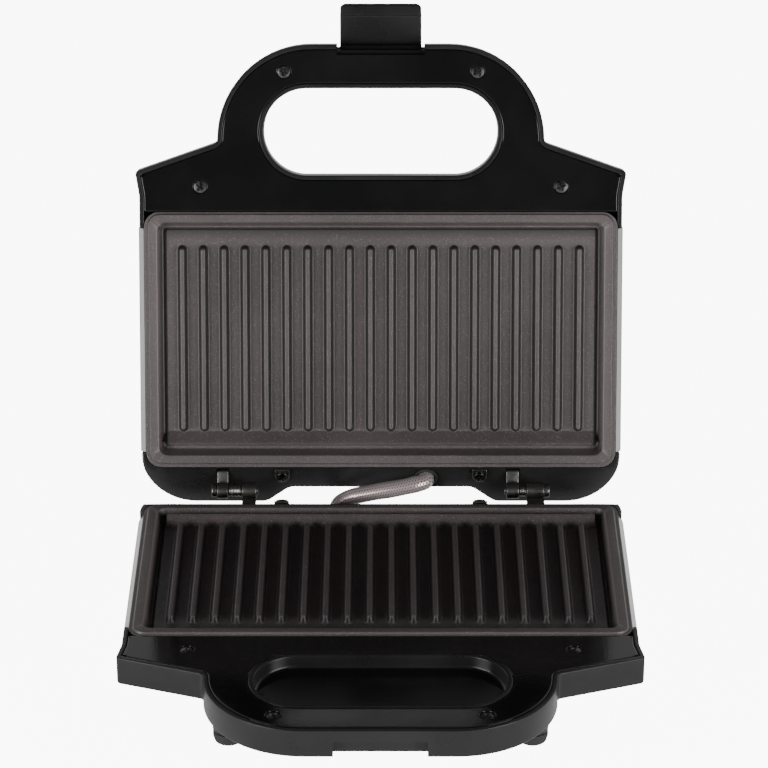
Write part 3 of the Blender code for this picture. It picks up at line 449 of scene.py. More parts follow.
glossPlastic = {
    "colour": (0.0055, 0.0055, 0.0058),
    "worn": (0.009, 0.009, 0.009),
    "roughness": (0.07, 0.13),        # clean and smudged
    "grain": 0.035,
    "scales": (900.0, 24.0),          # of grain and of smudges
    "specular": 0.5,
}
satinPlastic = {
    "colour": (0.012, 0.012, 0.0125),
    "worn": (0.017, 0.017, 0.017),
    "roughness": (0.27, 0.36),
    "grain": 0.10,
    "scales": (2600.0, 30.0),
    "specular": 0.34,
}
nonstick = {
    "colour": (0.078, 0.064, 0.064),
    "deep": (0.060, 0.049, 0.050),
    "fleck": (0.22, 0.19, 0.185),
    "hollow": (0.012, 0.010, 0.010),  # painted shade in the drip channel and down the ribs' sides
    "paintedHighlight": (0.17, 0.15, 0.148),    # painted highlight along the feet of ribs and the rim's inner edge
    "roughness": (0.44, 0.54),
    "peel": 0.22,
}
stainless = {
    "colour": (0.60, 0.595, 0.585),
    "dull": (0.50, 0.495, 0.485),
    "roughness": (0.20, 0.34),
    "lines": 0.10,
}
platedSteel = {
    "colour": (0.24, 0.232, 0.225),
    "cloud": (0.13, 0.124, 0.12),
    "roughness": (0.26, 0.46),
    "pits": 0.15,
    "scale": 260.0,
}
blackScrew = {
    "colour": (0.045, 0.044, 0.044),
    "cloud": (0.11, 0.105, 0.10),
    "roughness": (0.28, 0.45),
    "pits": 0.12,
    "scale": 600.0,
}
blackRubber = {
    "colour": (0.011, 0.011, 0.011),
    "worn": (0.022, 0.021, 0.020),
    "roughness": (0.62, 0.78),
    "grain": 0.25,
    "scales": (1800.0, 90.0),
    "specular": 0.5,
}
braid = {
    "threads": 9.0,
    "crossings": 46.0,
    "gap": (0.10, 0.082, 0.08),
    "thread": (0.66, 0.56, 0.55),
    "roughness": (0.5, 0.24),         # between the threads and on them
}


def paint(tree, shader, mask, colours, roughness):
    # one mask shifts the colour and the gloss between two values each
    tree.links.new(blendColour(tree, mask, *colours), shader.inputs["Base Color"])
    tree.links.new(stretch(tree, mask, 0.0, 1.0, *roughness), shader.inputs["Roughness"])


def plasticMaterial(name, look):
    # moulded skin: the smudge mask shifts its colour and gloss, the grain roughens it
    material, tree, shader = newMaterial(name, {"Specular IOR Level": look["specular"]})
    grainScale, smudgeScale = look["scales"]
    skin = useGroup(tree, "mould", {"Grain Scale": grainScale, "Smudge Scale": smudgeScale})
    paint(tree, shader, skin.outputs["Smudge"], (look["colour"], look["worn"]), look["roughness"])
    bump(tree, shader, skin.outputs["Grain"], look["grain"], 0.0002)
    return material


def nonstickMaterial():
    # speckled coating: flecks lie on two slowly mixed browns, over an orange peel, with painted
    # shade in its hollows and painted highlights along its edges
    look = nonstick
    material, tree, shader = newMaterial("nonstickCoating", {"Specular IOR Level": 0.55})
    coat = useGroup(tree, "fleck")
    # mask of painted light: below 0.5 painted shade, above 0.5 painted highlight
    paintedLight = addNode(tree, "ShaderNodeAttribute", attribute_name="paintedLight").outputs["Fac"]
    colour = blendColour(tree, coat.outputs["Tone"], look["deep"], look["colour"])
    colour = blendColour(tree, coat.outputs["Fleck"], colour, look["fleck"])
    # painted shade: the channel and the ribs' sides darkened
    colour = blendColour(tree, stretch(tree, paintedLight, 0.5, 0.0), colour, look["hollow"])
    # painted highlight: the rim's inner edge and the ribs' feet lightened
    colour = blendColour(tree, stretch(tree, paintedLight, 0.5, 1.0), colour, look["paintedHighlight"])
    tree.links.new(colour, shader.inputs["Base Color"])
    rough = stretch(tree, coat.outputs["Peel"], 0.3, 0.7, *look["roughness"])
    tree.links.new(rough, shader.inputs["Roughness"])
    bump(tree, shader, coat.outputs["Peel"], look["peel"], 0.0004)
    return material


def brushedMaterial(name, look):
    # brushed sheet: the scratches change its gloss and its height
    material, tree, shader = newMaterial(name, {"Metallic": 1.0})
    lines = useGroup(tree, "brushed")
    colour = blendColour(tree, lines.outputs["Sheen"], look["dull"], look["colour"])
    tree.links.new(colour, shader.inputs["Base Color"])
    rough = stretch(tree, lines.outputs["Lines"], 0.0, 1.0, *look["roughness"])
    tree.links.new(rough, shader.inputs["Roughness"])
    bump(tree, shader, lines.outputs["Lines"], look["lines"], 0.00005)
    return material


def tarnishedMaterial(name, look):
    # plated or blackened steel: clouds change its colour and gloss, pits its height
    material, tree, shader = newMaterial(name, {"Metallic": 1.0})
    patch = useGroup(tree, "tarnish", {"Cloud Scale": look["scale"]})
    paint(tree, shader, patch.outputs["Cloud"], (look["colour"], look["cloud"]), look["roughness"])
    bump(tree, shader, patch.outputs["Pit"], look["pits"], 0.00015)
    return material


def threads(tree, operation, around, along):
    # one set of threads: a wave that winds round the sleeve to one side
    turns = mathNode(tree, "MULTIPLY", mathNode(tree, operation, around, along), math.tau)
    return mathNode(tree, "SINE", turns, 0.0)


def sleeveMaterial():
    # braided sleeve: two sets of threads wind round it both ways, each over one and under one
    sockets = {"Metallic": 0.55, "Sheen Weight": 0.15}
    material, tree, shader = newMaterial("braidedSleeve", sockets)
    uv = addNode(tree, "ShaderNodeUVMap", uv_map="wrap").outputs[0]
    split = addNode(tree, "ShaderNodeSeparateXYZ")
    tree.links.new(uv, split.inputs[0])
    around = mathNode(tree, "MULTIPLY", split.outputs[0], braid["threads"])
    along = mathNode(tree, "MULTIPLY", split.outputs[1], braid["crossings"])
    right = threads(tree, "ADD", around, along)
    left = threads(tree, "SUBTRACT", around, along)
    thread = stretch(tree, mathNode(tree, "MAXIMUM", right, left), -0.4, 0.9)
    paint(tree, shader, thread, (braid["gap"], braid["thread"]), braid["roughness"])
    bump(tree, shader, thread, 0.25, 0.0002)
    return material


def plainMaterial(name, colour, roughness, sockets):
    # fired ceramic, sheath and lenses: a slow cloud over one colour
    material, tree, shader = newMaterial(name, sockets)
    patch = useGroup(tree, "tarnish", {"Cloud Scale": 120.0})
    darker = tuple(value * 0.8 for value in colour)
    paint(tree, shader, patch.outputs["Cloud"], (colour, darker), (roughness, roughness * 1.3))
    return material


gloss = plasticMaterial("polishedPlastic", glossPlastic)
satin = plasticMaterial("satinPlastic", satinPlastic)
rubber = plasticMaterial("feetRubber", blackRubber)
coating = nonstickMaterial()
steel = brushedMaterial("brushedSheet", stainless)
plated = tarnishedMaterial("platedHinge", platedSteel)
screwBlack = tarnishedMaterial("blackenedScrew", blackScrew)
sleeveWeave = sleeveMaterial()
ceramic = plainMaterial("firedCeramic", (0.70, 0.67, 0.61), 0.55, {})
sheath = plainMaterial("elementSheath", (0.28, 0.26, 0.24), 0.42, {"Metallic": 1.0})
panSheet = plainMaterial("aluminisedPan", (0.66, 0.66, 0.65), 0.30, {"Metallic": 1.0})
redLens = plainMaterial("redLens", (0.55, 0.02, 0.012), 0.06, {"Coat Weight": 0.6})
greenLens = plainMaterial("greenLens", (0.03, 0.40, 0.06), 0.06, {"Coat Weight": 0.6})
print("materials ready:", len(bpy.data.materials))


shell = {
    "face": -1.5,            # covers and rims, below the parting plane
    "belly": -32.0,
    "side": 119.8,
    "sideRound": 17.5,
    "reach": 222.7,
    "underside": -15.5,      # of the handle
    "rise": (134.6, 152.0),  # where the belly climbs to the handle
    "seams": (131.8, 18.5),
    "slope": 38.0,           # degrees, behind the plate
    "slopeStart": 11.2,
}
grip = {
    "centre": -179.6,
    "straight": 36.5,        # half the length of its straight sides
    "radius": 21.5,
    "wall": 2.2,
    "recess": -9.5,          # floor of the base's recess
    "tilt": 0.085,
}
rim = {
    "wall": 2.3,
    "edge": 0.35,
    "gap": 0.3,
    "foot": 1.0,             # rounding of the handle's lower edge
    "floor": -4.4,
    "deepFloor": -10.4,
}
coverScrews = ((47.8, -209.3), (89.5, -152.5))


def handlePlan(rear, cornerRadius):
    # corners of the handle and its wings
    side = shell["side"]
    return mirrored([
        (80.0, -shell["reach"], 46.8),
        (81.0, -174.3, 3.0),
        (side + 2.0, -160.0, 2.0),
        (side, -148.0, 12.0),
        (side, -rear, cornerRadius),
    ])


def sideLevel(x):
    # the belly's height across the width: flat, then a quarter round up each side
    radius = shell["sideRound"]
    over = np.clip(np.abs(x) - (shell["side"] + 2.2 - radius), 0.0, radius - 0.01)
    return shell["belly"] + radius - np.sqrt(radius ** 2 - over ** 2)


def bellyLevel(x, y):
    # the higher of the side round and the climb to the handle, blended where they meet
    first, second = shell["rise"]
    climb = softLine((-260.0, shell["underside"], 0.0), (-second, shell["underside"], 12.0),
                     (-first, shell["belly"], 7.0), (60.0, shell["belly"], 0.0), arcStep=3.0)
    front = np.interp(y, climb[:, 0], climb[:, 1])
    side = sideLevel(x)
    near = np.clip(1.0 - np.abs(front - side) / 7.0, 0.0, 1.0)
    return np.maximum(front, side) + near ** 2 * 7.0 / 4


def gripRing(direction, grow):
    # where a ray from the grip's middle meets its straight sides or its round ends
    radius, straight = grip["radius"] + grow, grip["straight"]
    across, along = np.abs(direction[:, 0]), np.abs(direction[:, 1])
    flat = radius / np.maximum(along, 1e-6)
    bowed = straight * across + np.sqrt(np.maximum(radius ** 2 - (straight * along) ** 2, 0.0))
    length = np.where(across * flat <= straight, flat, bowed)
    return np.array((0.0, grip["centre"])) + direction * length[:, None]


def smooth(value):
    # 0 to 1 with both ends eased
    value = np.clip(value, 0.0, 1.0)
    return value * value * (3.0 - 2.0 * value)


def withHeight(flat, height):
    # level points lifted to a height
    return np.concatenate((flat, np.broadcast_to(height, len(flat))[:, None]), 1)


def recessLevel(ring):
    # the recess's floor rises a little towards the rear
    return grip["recess"] + grip["tilt"] * (ring[:, 1] - grip["centre"])


def handleShell(isLid):
    # a loop carried round the plan: grip wall and lip, floor, rim, outer wall, belly to the grip
    points, normals = outline(handlePlan(shell["seams"][0], 0.5), step=2.5, arcStep=5.0)
    direction = points - np.array((0.0, grip["centre"]))
    direction /= np.linalg.norm(direction, axis=1)[:, None]
    face, edge = shell["face"], rim["edge"]
    quarter = np.linspace(0.0, math.pi / 2, 5)
    foot = np.where(points[:, 1] > -150.0, 1.0, rim["foot"])

    def inwards(distance):
        # the outline moved in; beside the steel its corner stays a corner
        distance = np.broadcast_to(distance, len(points))
        ring = points + normals * distance[:, None]
        limit = np.where(points[:, 1] > -140.0, shell["side"], 200.0) - distance
        seam = -shell["seams"][0] - distance
        return np.stack((np.clip(ring[:, 0], -limit, limit), np.minimum(ring[:, 1], seam)), 1)

    rows = []
    lip = 0.6
    if isLid:
        for turn in quarter[::-1]:                     # rounded lower edge of the opening
            ring = gripRing(direction, 1.2 * (1.0 - math.cos(turn)))
            level = bellyLevel(ring[:, 0], ring[:, 1])
            rows.append(withHeight(ring, level + 1.2 * (1.0 - math.sin(turn))))
    else:
        middle = np.array((0.0, grip["centre"]))
        edgeRing = gripRing(direction, 0.0)
        for share in (0.0, 0.4, 0.7, 0.9):             # floor of the recess
            ring = middle + (edgeRing - middle) * share
            rows.append(withHeight(ring, recessLevel(ring)))
        for turn in quarter:
            ring = gripRing(direction, 1.6 * (math.sin(turn) - 1.0))
            rows.append(withHeight(ring, recessLevel(ring) + 1.6 * (1.0 - math.cos(turn))))
    for turn in quarter:                               # lip round the grip
        ring = gripRing(direction, lip * (1.0 - math.cos(turn)))
        rows.append(withHeight(ring, face - lip * (1.0 - math.sin(turn))))
    for turn in quarter:
        ring = gripRing(direction, grip["wall"] - edge * (1.0 - math.sin(turn)))
        rows.append(withHeight(ring, face - edge * (1.0 - math.cos(turn))))
    inner = inwards(rim["wall"])
    outerGrip = gripRing(direction, grip["wall"])
    rows.append(withHeight(outerGrip, rim["floor"]))
    for share in (0.0, 0.03, 0.25, 0.5, 0.75, 0.97, 1.0):
        ring = outerGrip + (inner - outerGrip) * share
        deep = smooth((ring[:, 1] + 146.0) / 4.0)
        level = rim["floor"] + (rim["deepFloor"] - rim["floor"]) * deep
        rows.append(withHeight(ring, level))
    for turn in quarter:                               # rim
        ring = inwards(rim["wall"] - edge * (1.0 - math.cos(turn)))
        rows.append(withHeight(ring, face - edge * (1.0 - math.sin(turn))))
    for turn in quarter:
        ring = inwards(edge * (1.0 - math.sin(turn)))
        rows.append(withHeight(ring, face - edge * (1.0 - math.cos(turn))))
    below = bellyLevel(points[:, 0], points[:, 1])
    for share in (0.35, 0.7):
        rows.append(withHeight(points, face + (below + foot - face) * share))
    for turn in np.linspace(0.0, math.pi / 2, 8):      # rounded foot of the outer wall
        ring = inwards(foot * (1.0 - math.cos(turn)))
        level = bellyLevel(ring[:, 0], ring[:, 1])
        rows.append(withHeight(ring, level + foot * (1.0 - math.sin(turn))))
    start = inwards(foot)
    middle = np.repeat(np.array(((0.0, grip["centre"]),)), len(points), 0)
    stop = gripRing(direction, 1.2) if isLid else middle
    for share in np.linspace(0.0, 1.0, 26)[1:(-1 if isLid else None)]:
        ring = start + (stop - start) * share
        rows.append(withHeight(ring, bellyLevel(ring[:, 0], ring[:, 1])))
    return gridPatch(np.array(rows), wrapRows=isLid)


def plateRoom():
    # solids that clear the plate's flange and its body
    return (
        roundedBox(117.9, -140.2, -11.2, 7.8, -3.0, 12.0),
        roundedBox(115.2, -138.6, -13.9, 5.8, -9.8, 12.0),
    )


# the base's catch and the lid's notch for the latch, cut from beyond the front up to a level
catch = {
    "half": 21.1,
    "notchHalf": 21.6,
    "back": -217.6,
    "beyond": -240.0,
    "below": -60.0,
    "top": -7.6,
    "above": 20.0,
}


def frontNotch(half, top):
    # solid that clears the latch at the front
    low = (-half, catch["beyond"], catch["below"])
    return block(low, (half, catch["back"], top), 0.2)


def polishRecess(piece):
    # the faces of the recess's floor take the polished finish
    mesh = piece.data
    mesh.materials.append(gloss)
    x, y, z = moved(readRows(mesh.polygons, "center"), halfPlace["base"].inverted()).T
    across = np.abs(x) < grip["straight"] + grip["radius"]
    along = np.abs(y - grip["centre"]) < grip["radius"]
    upward = readRows(mesh.polygons, "normal")[:, 2] > 0.8
    floor = across & along & upward & (z < grip["recess"] + 3.0)
    mesh.polygons.foreach_set("material_index", floor.astype(np.int32))


feet = {
    "front": (70.0, -170.3),
    "rear": (78.0, -5.0),
    "radius": 7.3,
    "legSpread": 8.5,        # radius of a front leg where it meets the handle
    "legFoot": -33.0,
    "height": 5.7,
}


def handleHousings():
    # the lid's shell with its notch, and the base's with its catch, front legs and recess
    make("lidHandleShell", handleShell(True), "lid", "lid", ["lid_handle_housing"], satin,
         (*plateRoom(), frontNotch(catch["notchHalf"], catch["above"])))
    legs = []
    for side in (-1, 1):
        profile = softLine((0.0, feet["legFoot"], 0.0), (feet["radius"], feet["legFoot"], 0.6),
                           (feet["legSpread"], shell["underside"] - 0.5, 3.0), (0.0, -12.0, 0.0))
        x, y = feet["front"]
        legs.append(turned(profile, 48, centre=(side * x, y, 0.0)))
    cutters = (*plateRoom(), frontNotch(catch["half"], catch["top"]))
    polishRecess(make("baseHandleShell", handleShell(False), "base", "base",
                      ["base_handle_housing"], satin, cutters, legs))


handleHousings()
print("handle housings")


def handleCover(half):
    # polished cover: rounded edge outside and round the grip, counterbored at its screws
    inset = rim["wall"] + rim["gap"]
    path = outline(handlePlan(140.2 - inset, inset + 0.5), step=3.0, arcStep=5.0)
    face, thick, edge = shell["face"], 2.4, 0.45
    side = softLine((inset + 1.2, face - thick, 0.0), (inset, face - thick, 0.25),
                    (inset, face, edge), (inset + 1.1, face, 0.0))
    outer = carried(path, side)
    near = grip["radius"] + grip["wall"] + rim["gap"]
    end = grip["straight"] + near
    ends = [(end, grip["centre"] - near, near - 0.01), (end, grip["centre"] + near, near - 0.01)]
    gripPath = outline(mirrored(ends), step=3.0, arcStep=5.0)
    side = softLine((-1.2, face - thick, 0.0), (0.0, face - thick, 0.25), (0.0, face, edge),
                    (-1.1, face, 0.0))
    inner = carried(gripPath, side)
    patches = [gridPatch(outer), gridPatch(inner), filled(outer[0], inner[0])]
    tops = [outer[-1], inner[-1]]
    turns = np.arange(48) * math.tau / 48
    ring = np.stack((np.cos(turns), np.sin(turns)), 1)
    dip = softLine((0.0, face - 1.5, 0.0), (3.5, face - 1.5, 0.2), (3.5, face, 0.25),
                   (4.2, face, 0.0))
    for x, y in coverScrews:
        for sign in (-1, 1):
            grid = np.concatenate((ring[None] * dip[:, 0][:, None, None] + np.array((sign * x, y)),
                                   np.broadcast_to(dip[:, 1][:, None, None], (len(dip), 48, 1))), 2)
            patches.append(gridPatch(grid))
            tops.append(grid[-1])
    patches.append(filled(*tops))
    cutters = [frontNotch(catch["notchHalf"], catch["above"])] if half == "lid" else []
    make(f"{half}HandleCover", joined(*patches), half, half, [f"{half}_handle_cover"], gloss,
         cutters)


for half in ("base", "lid"):
    handleCover(half)
print("handle covers")

screwShape = {"radius": 3.2, "dome": 0.45, "arm": 1.95, "slot": 0.42, "depth": 0.8}


def crossHead(radius, top, matrix):
    # domed head with a cross cut in it: the height drops where the point is near either arm
    look = screwShape
    turns = np.arange(96) * math.tau / 96
    radii = np.r_[np.linspace(0.0, 2.2, 17), np.linspace(2.3, radius - 0.25, 5), radius - 0.1,
                  radius, radius, radius]
    across, up = radii[:, None] * np.cos(turns), radii[:, None] * np.sin(turns)
    level = top - look["dome"] * (radii[:, None] / radius) ** 2 + 0.0 * across
    arms = [smooth((look["slot"] - np.abs(one)) / 0.16 + 0.5)
            * smooth((look["arm"] - np.abs(other)) / 0.3 + 0.5)
            for one, other in ((across, up), (up, across))]
    level = level - look["depth"] * np.maximum(*arms)
    level[-3] = top - look["dome"] - 0.12
    level[-2] = top - look["dome"] - 0.25
    level[-1] = top - 1.2
    vertices, faces = gridPatch(np.stack((across, up, level), -1))
    faces.append(list(range((len(radii) - 1) * 96, len(radii) * 96)))
    return moved(vertices, matrix), faces


def coverScrewSet(half):
    # the screws of one cover, each turned a little differently
    shank = softLine((0.0, -10.0, 0.0), (1.3, -10.0, 0.3), (1.3, -2.6, 0.0), (0.0, -2.6, 0.0))
    number = 0
    for x, y in coverScrews:
        for sign in (-1, 1):
            number += 1
            spin = Matrix.Rotation(math.radians(37.0 * number), 4, "Z")
            turn = Matrix.Translation((sign * x, y, 0.0)) @ spin
            head = crossHead(screwShape["radius"], shell["face"] - 0.1, turn)
            make(f"{half}CoverScrew{number}", joined(head, turned(shank, 24, turn)), half, half,
                 [f"{half}_cover_screw_{number}"], screwBlack)


for half in ("base", "lid"):
    coverScrewSet(half)
print("cover screws")


def slopeLevel(y):
    # the rear face: level, then falling at the slope's angle behind its start
    fall = math.tan(math.radians(shell["slope"]))
    return shell["face"] - fall * np.maximum(shell["slopeStart"] + y, 0.0)


def hingeShell(reach):
    # a loop carried along the rear outline: top face, rounded wall, belly, wall inside the steel
    side, seam = shell["side"], shell["seams"][1]
    right = [
        (side, -seam, 0.0),
        (side, reach, reach + seam - 0.4),
        (57.5, reach, 8.0),
        (46.0, 0.0, 8.0),
    ]
    points, normals = outline(mirrored(right), closed=False, step=2.0, arcStep=6.0)
    length = np.r_[0.0, np.cumsum(np.linalg.norm(np.diff(points, axis=0), axis=1))]
    line = side * (1.0 - 2.0 * length / length[-1])
    topLine = np.stack((line, np.full(len(line), -seam)), 1)
    foot = 0.8 + 7.0 * smooth((side - np.abs(points[:, 0]) - 3.0) / 22.0)
    lowLine = np.stack((np.clip(line, -side + 9.0, side - 9.0), np.full(len(line), -seam)), 1)
    crease = (seam - shell["slopeStart"]) / np.maximum(points[:, 1] + seam, 0.1)
    crease = np.clip(crease, 0.02, 0.9)[:, None]
    edge = 0.9

    def inwards(distance):
        # the outline moved in, held at the seam
        ring = points + normals * distance[:, None]
        return np.stack((ring[:, 0], np.maximum(ring[:, 1], -seam)), 1)

    rows = []
    startTop = inwards(np.full(len(points), edge))
    for share in (0.0, 0.5, 0.96, 1.0):
        ring = topLine + (startTop - topLine) * crease * share
        rows.append(withHeight(ring, slopeLevel(ring[:, 1])))
    for share in (0.03, 0.3, 0.65, 1.0):
        ring = topLine + (startTop - topLine) * (crease + (1.0 - crease) * share)
        rows.append(withHeight(ring, slopeLevel(ring[:, 1])))
    for turn in np.linspace(0.0, math.pi / 2, 6)[1:]:
        ring = inwards(np.full(len(points), edge * (1.0 - math.sin(turn))))
        rows.append(withHeight(ring, slopeLevel(ring[:, 1]) - edge * (1.0 - math.cos(turn))))
    below = sideLevel(points[:, 0])
    for turn in np.linspace(0.0, math.pi / 2, 10):
        ring = inwards(foot * (1.0 - math.cos(turn)))
        level = sideLevel(ring[:, 0]) + foot * (1.0 - math.sin(turn))
        rows.append(withHeight(ring, np.minimum(level, slopeLevel(points[:, 1]) - edge - 0.5)))
    start = inwards(foot)
    for share in (0.2, 0.4, 0.6, 0.8, 1.0):
        ring = start + (lowLine - start) * share
        rows.append(withHeight(ring, sideLevel(ring[:, 0])))
    grid = np.array(rows)
    ends = [filled(grid[:, 0]), filled(grid[:, -1])]
    return joined(gridPatch(grid, wrapRows=True, wrapColumns=False), *ends)


hinges = {
    "lid": ((76.6, 82.0), (-69.2, -63.0)),       # the straps' spans in the lid's own frame
    "base": ((-69.4, -62.4), (73.0, 81.8)),
    "reach": 10.4,
    "thick": 1.6,
    "drop": -23.6,
}
sleeveHoles = {
    "lid": (-22.6, -6.2),
    "base": (-22.8, -19.5),
    "cord": (26.0, -19.5),
    "radius": 6.0,
}


def slopeFrame(x, y):
    # frame on the rear slope: its y runs down the slope, its z stands out of it
    tilt = Matrix.Rotation(-math.radians(shell["slope"]), 4, "X")
    return Matrix.Translation((x, y, float(slopeLevel(y)))) @ tilt


def hingeHousing(half):
    # rear shell with its slots for the brackets, its holes and the rear feet's pads
    reach = 8.6 if half == "lid" else 4.6
    pads = []
    cutters = list(plateRoom())
    for low, high in hinges[half]:
        cutters.append(block((low - 0.4, -10.9, -14.0), (high + 0.4, -6.8, 5.0), 0.3))
    hole = plug(sleeveHoles["radius"], 9.0)
    if half == "lid":
        cutters.append(turned(hole, 48, slopeFrame(*sleeveHoles["lid"])))
    else:
        for key in ("base", "cord"):
            x, z = sleeveHoles[key]
            cutters.append(turned(hole, 48, centre=(x, 0.0, z), axis="Y"))
        for side in (-1, 1):
            profile = softLine((0.0, -33.0, 0.0), (feet["radius"], -33.0, 0.5), (8.2, -27.0, 0.0),
                               (0.0, -27.0, 0.0))
            x, y = feet["rear"]
            pads.append(turned(profile, 48, centre=(side * x, y, 0.0)))
    make(f"{half}HingeShell", hingeShell(reach), half, half, [f"{half}_hinge_housing"], satin,
         cutters, pads)


for half in ("base", "lid"):
    hingeHousing(half)
print("hinge housings")


def steelWrap(half):
    # one sheet: a closed rounded strip section carried round the belly and both bulging sides
    side = 120.8
    right = [(117.9, -3.0, 0.0), (side, -7.5, 8.0), (side, shell["belly"], shell["sideRound"])]
    corners = [(-a, b, radius) for a, b, radius in right] + list(reversed(right))
    path = outline(corners, closed=False, step=6.0, arcStep=5.0)
    front, rear = -shell["seams"][0] + 0.3, -shell["seams"][1] - 0.3
    corners = [(0.0, rear, 0.3), (0.0, front, 0.3), (1.0, front, 0.3), (1.0, rear, 0.3)]
    strip = outline(corners, step=20.0, arcStep=18.0)[0]
    grid = carried(path, strip)[..., [0, 2, 1]]
    ends = [filled(grid[:, 0]), filled(grid[:, -1])]
    cutters = []
    if half == "lid":
        bore = plug(lenses["radius"] + 0.3, 4.0)
        cutters = [turned(bore, 48, centre=(sign * lenses["x"], lenses["y"], shell["belly"]))
                   for sign in (-1, 1)]
    patch = joined(gridPatch(grid, wrapRows=True, wrapColumns=False), *ends)
    make(f"{half}SteelWrap", patch, half, half, [f"{half}_steel_wrap"], steel, cutters)


lenses = {"x": 11.0, "y": -112.0, "radius": 3.7, "proud": 1.6}
for half in ("base", "lid"):
    steelWrap(half)
radius, proud = lenses["radius"], lenses["proud"]
dome = softLine((0.0, -proud, 0.0), (radius - 1.2, -proud + 0.15, 3.0), (radius, -0.6, 0.8),
                (radius, 4.0, 0.2), (2.6, 4.0, 0.0), (2.6, 5.0, 0.2), (0.0, 5.0, 0.0))
lamps = ((1, "power", redLens, "lens_red"), (-1, "ready", greenLens, "lens_green"))
for sign, word, colour, slotName in lamps:
    lens = turned(dome, 64, centre=(sign * lenses["x"], lenses["y"], shell["belly"]))
    make(f"{word}Lens", lens, "lid", "lid", [f"{word}_indicator_lens"], colour)
print("steel wraps and lenses")


plate = {
    "side": 117.6,
    "rear": 11.5,
    "front": 139.9,
    "flange": -1.5,
    "rimTop": -0.3,
    "floor": -5.3,
    "channel": -7.5,
    "under": -9.5,
    "rampTop": -0.5,
    "ramp": (23.8, 29.4),
}
ribs = {"count": 20, "pitch": 10.4, "span": (29.2, 123.0), "height": 3.8, "top": 1.0, "foot": 2.4}
# how far the rear edge, the front edge and the corner radius follow as the side edge moves inwards
ringSteps = {
    "side": (0.0, 1.6, 2.4, 6.3, 6.7, 9.0, 11.3, 11.8),
    "rear": (0.0, 1.6, 2.4, 6.1, 6.5, 9.1, 11.7, 12.2),
    "front": (0.0, 0.7, 1.3, 4.9, 5.3, 7.5, 9.3, 9.8),
    "radius": (7.5, 6.4, 5.6, 4.9, 4.5, 2.4, 0.5, 0.0),
}


def rampRaise(y):
    # the wedge at the hinge side: full height at its back, down to the floor at its toe
    back, toe = plate["ramp"]
    drop = np.clip((-y - back) / (toe - back), 0.0, 1.0)
    return (plate["rampTop"] - plate["floor"]) * (1.0 - drop)


def softStep(value, ease):
    # straight ramp from 0 to 1 whose two corners are eased
    low = np.clip(value, 0.0, 1.0)
    first = np.where(np.abs(value) < ease, (value + ease) ** 2 / (4 * ease), np.maximum(value, 0.0))
    last = np.where(np.abs(value - 1.0) < ease, 1.0 - (1.0 + ease - value) ** 2 / (4 * ease), low)
    return np.where(value < 0.5, first, last)


def ribDistance(x, y):
    # distance to the nearest rib's spine
    spine = (np.round(x / ribs["pitch"] - 0.5) + 0.5) * ribs["pitch"]
    outermost = (ribs["count"] - 1) / 2 * ribs["pitch"]
    low, high = ribs["span"][0] + ribs["foot"], ribs["span"][1] - ribs["foot"]
    return np.hypot(x - np.clip(spine, -outermost, outermost), -y - np.clip(-y, low, high))


def floorLevel(x, y):
    # the floor with its wedge, and each rib as a bank that falls off with the distance to its spine
    away = ribDistance(x, y)
    bank = softStep((ribs["foot"] - away) / (ribs["foot"] - ribs["top"]), 0.2)
    return plate["floor"] + rampRaise(y) + ribs["height"] * bank


def plateRing(distance, ribLines, sideLines):
    # rounded rectangle at a distance inside the flange's edge, sampled at the floor's own lines
    half = plate["side"] - distance
    rear = plate["rear"] + np.interp(distance, ringSteps["side"], ringSteps["rear"])
    front = plate["front"] - np.interp(distance, ringSteps["side"], ringSteps["front"])
    radius = np.interp(distance, ringSteps["side"], ringSteps["radius"])
    quarter = np.linspace(0.0, math.pi / 2, 9)
    inX, nearY, farY = half - radius, -front + radius, -rear - radius

    def corner(centreX, centreY, start):
        turns = start + quarter
        return np.stack((centreX + radius * np.cos(turns), centreY + radius * np.sin(turns)), 1)

    across = ribLines[1:-1] * inX
    along = nearY + sideLines[1:-1] * (farY - nearY)
    edges = [
        np.stack((across, np.full(len(across), -front)), 1), corner(inX, nearY, -math.pi / 2),
        np.stack((np.full(len(along), half), along), 1), corner(inX, farY, 0.0),
        np.stack((-across, np.full(len(across), -rear)), 1), corner(-inX, farY, math.pi / 2),
        np.stack((np.full(len(along), -half), along[::-1]), 1), corner(-inX, nearY, math.pi),
    ]
    return np.vstack(edges)


def markPaintedLight(piece, half):
    # painted light: 0 is painted shade in the channel and on the ribs' sides, 1 a painted highlight
    # along the rim's inner edge, 0.65 a fainter painted highlight at the ribs' feet, 0.5 elsewhere
    x, y, z = localSpots(piece.data, half).T
    away = ribDistance(x, y)
    # painted shade down the ribs' sides
    flankShade = np.clip(1.6 - np.abs(away - 1.75) / 0.6, 0.0, 1.0)
    # painted highlight along the ribs' feet
    seam = np.clip(1.0 - np.abs(away - 2.6) / 0.3, 0.0, 1.0)
    inset = np.minimum(plate["side"] - np.abs(x), plate["front"] + y)
    # painted shade in the drip channel
    channel = np.clip(1.0 - np.abs(inset - 9.4) / 1.6, 0.0, 1.0) * (z < plate["floor"] + 0.8)
    # painted highlight along the rim's inner edge
    lip = np.clip(1.0 - np.abs(inset - 6.4) / 0.5, 0.0, 1.0) * (z > plate["rimTop"] - 1.0)
    shift = np.maximum(seam * 0.3, lip) - np.maximum(flankShade, channel)
    value = 0.5 + 0.5 * np.clip(shift, -1.0, 1.0)
    # stored per point as the mask of painted shade and painted highlight for the coating
    mask = piece.data.attributes.new("paintedLight", "FLOAT", "POINT")
    mask.data.foreach_set("value", value.astype(np.float32))


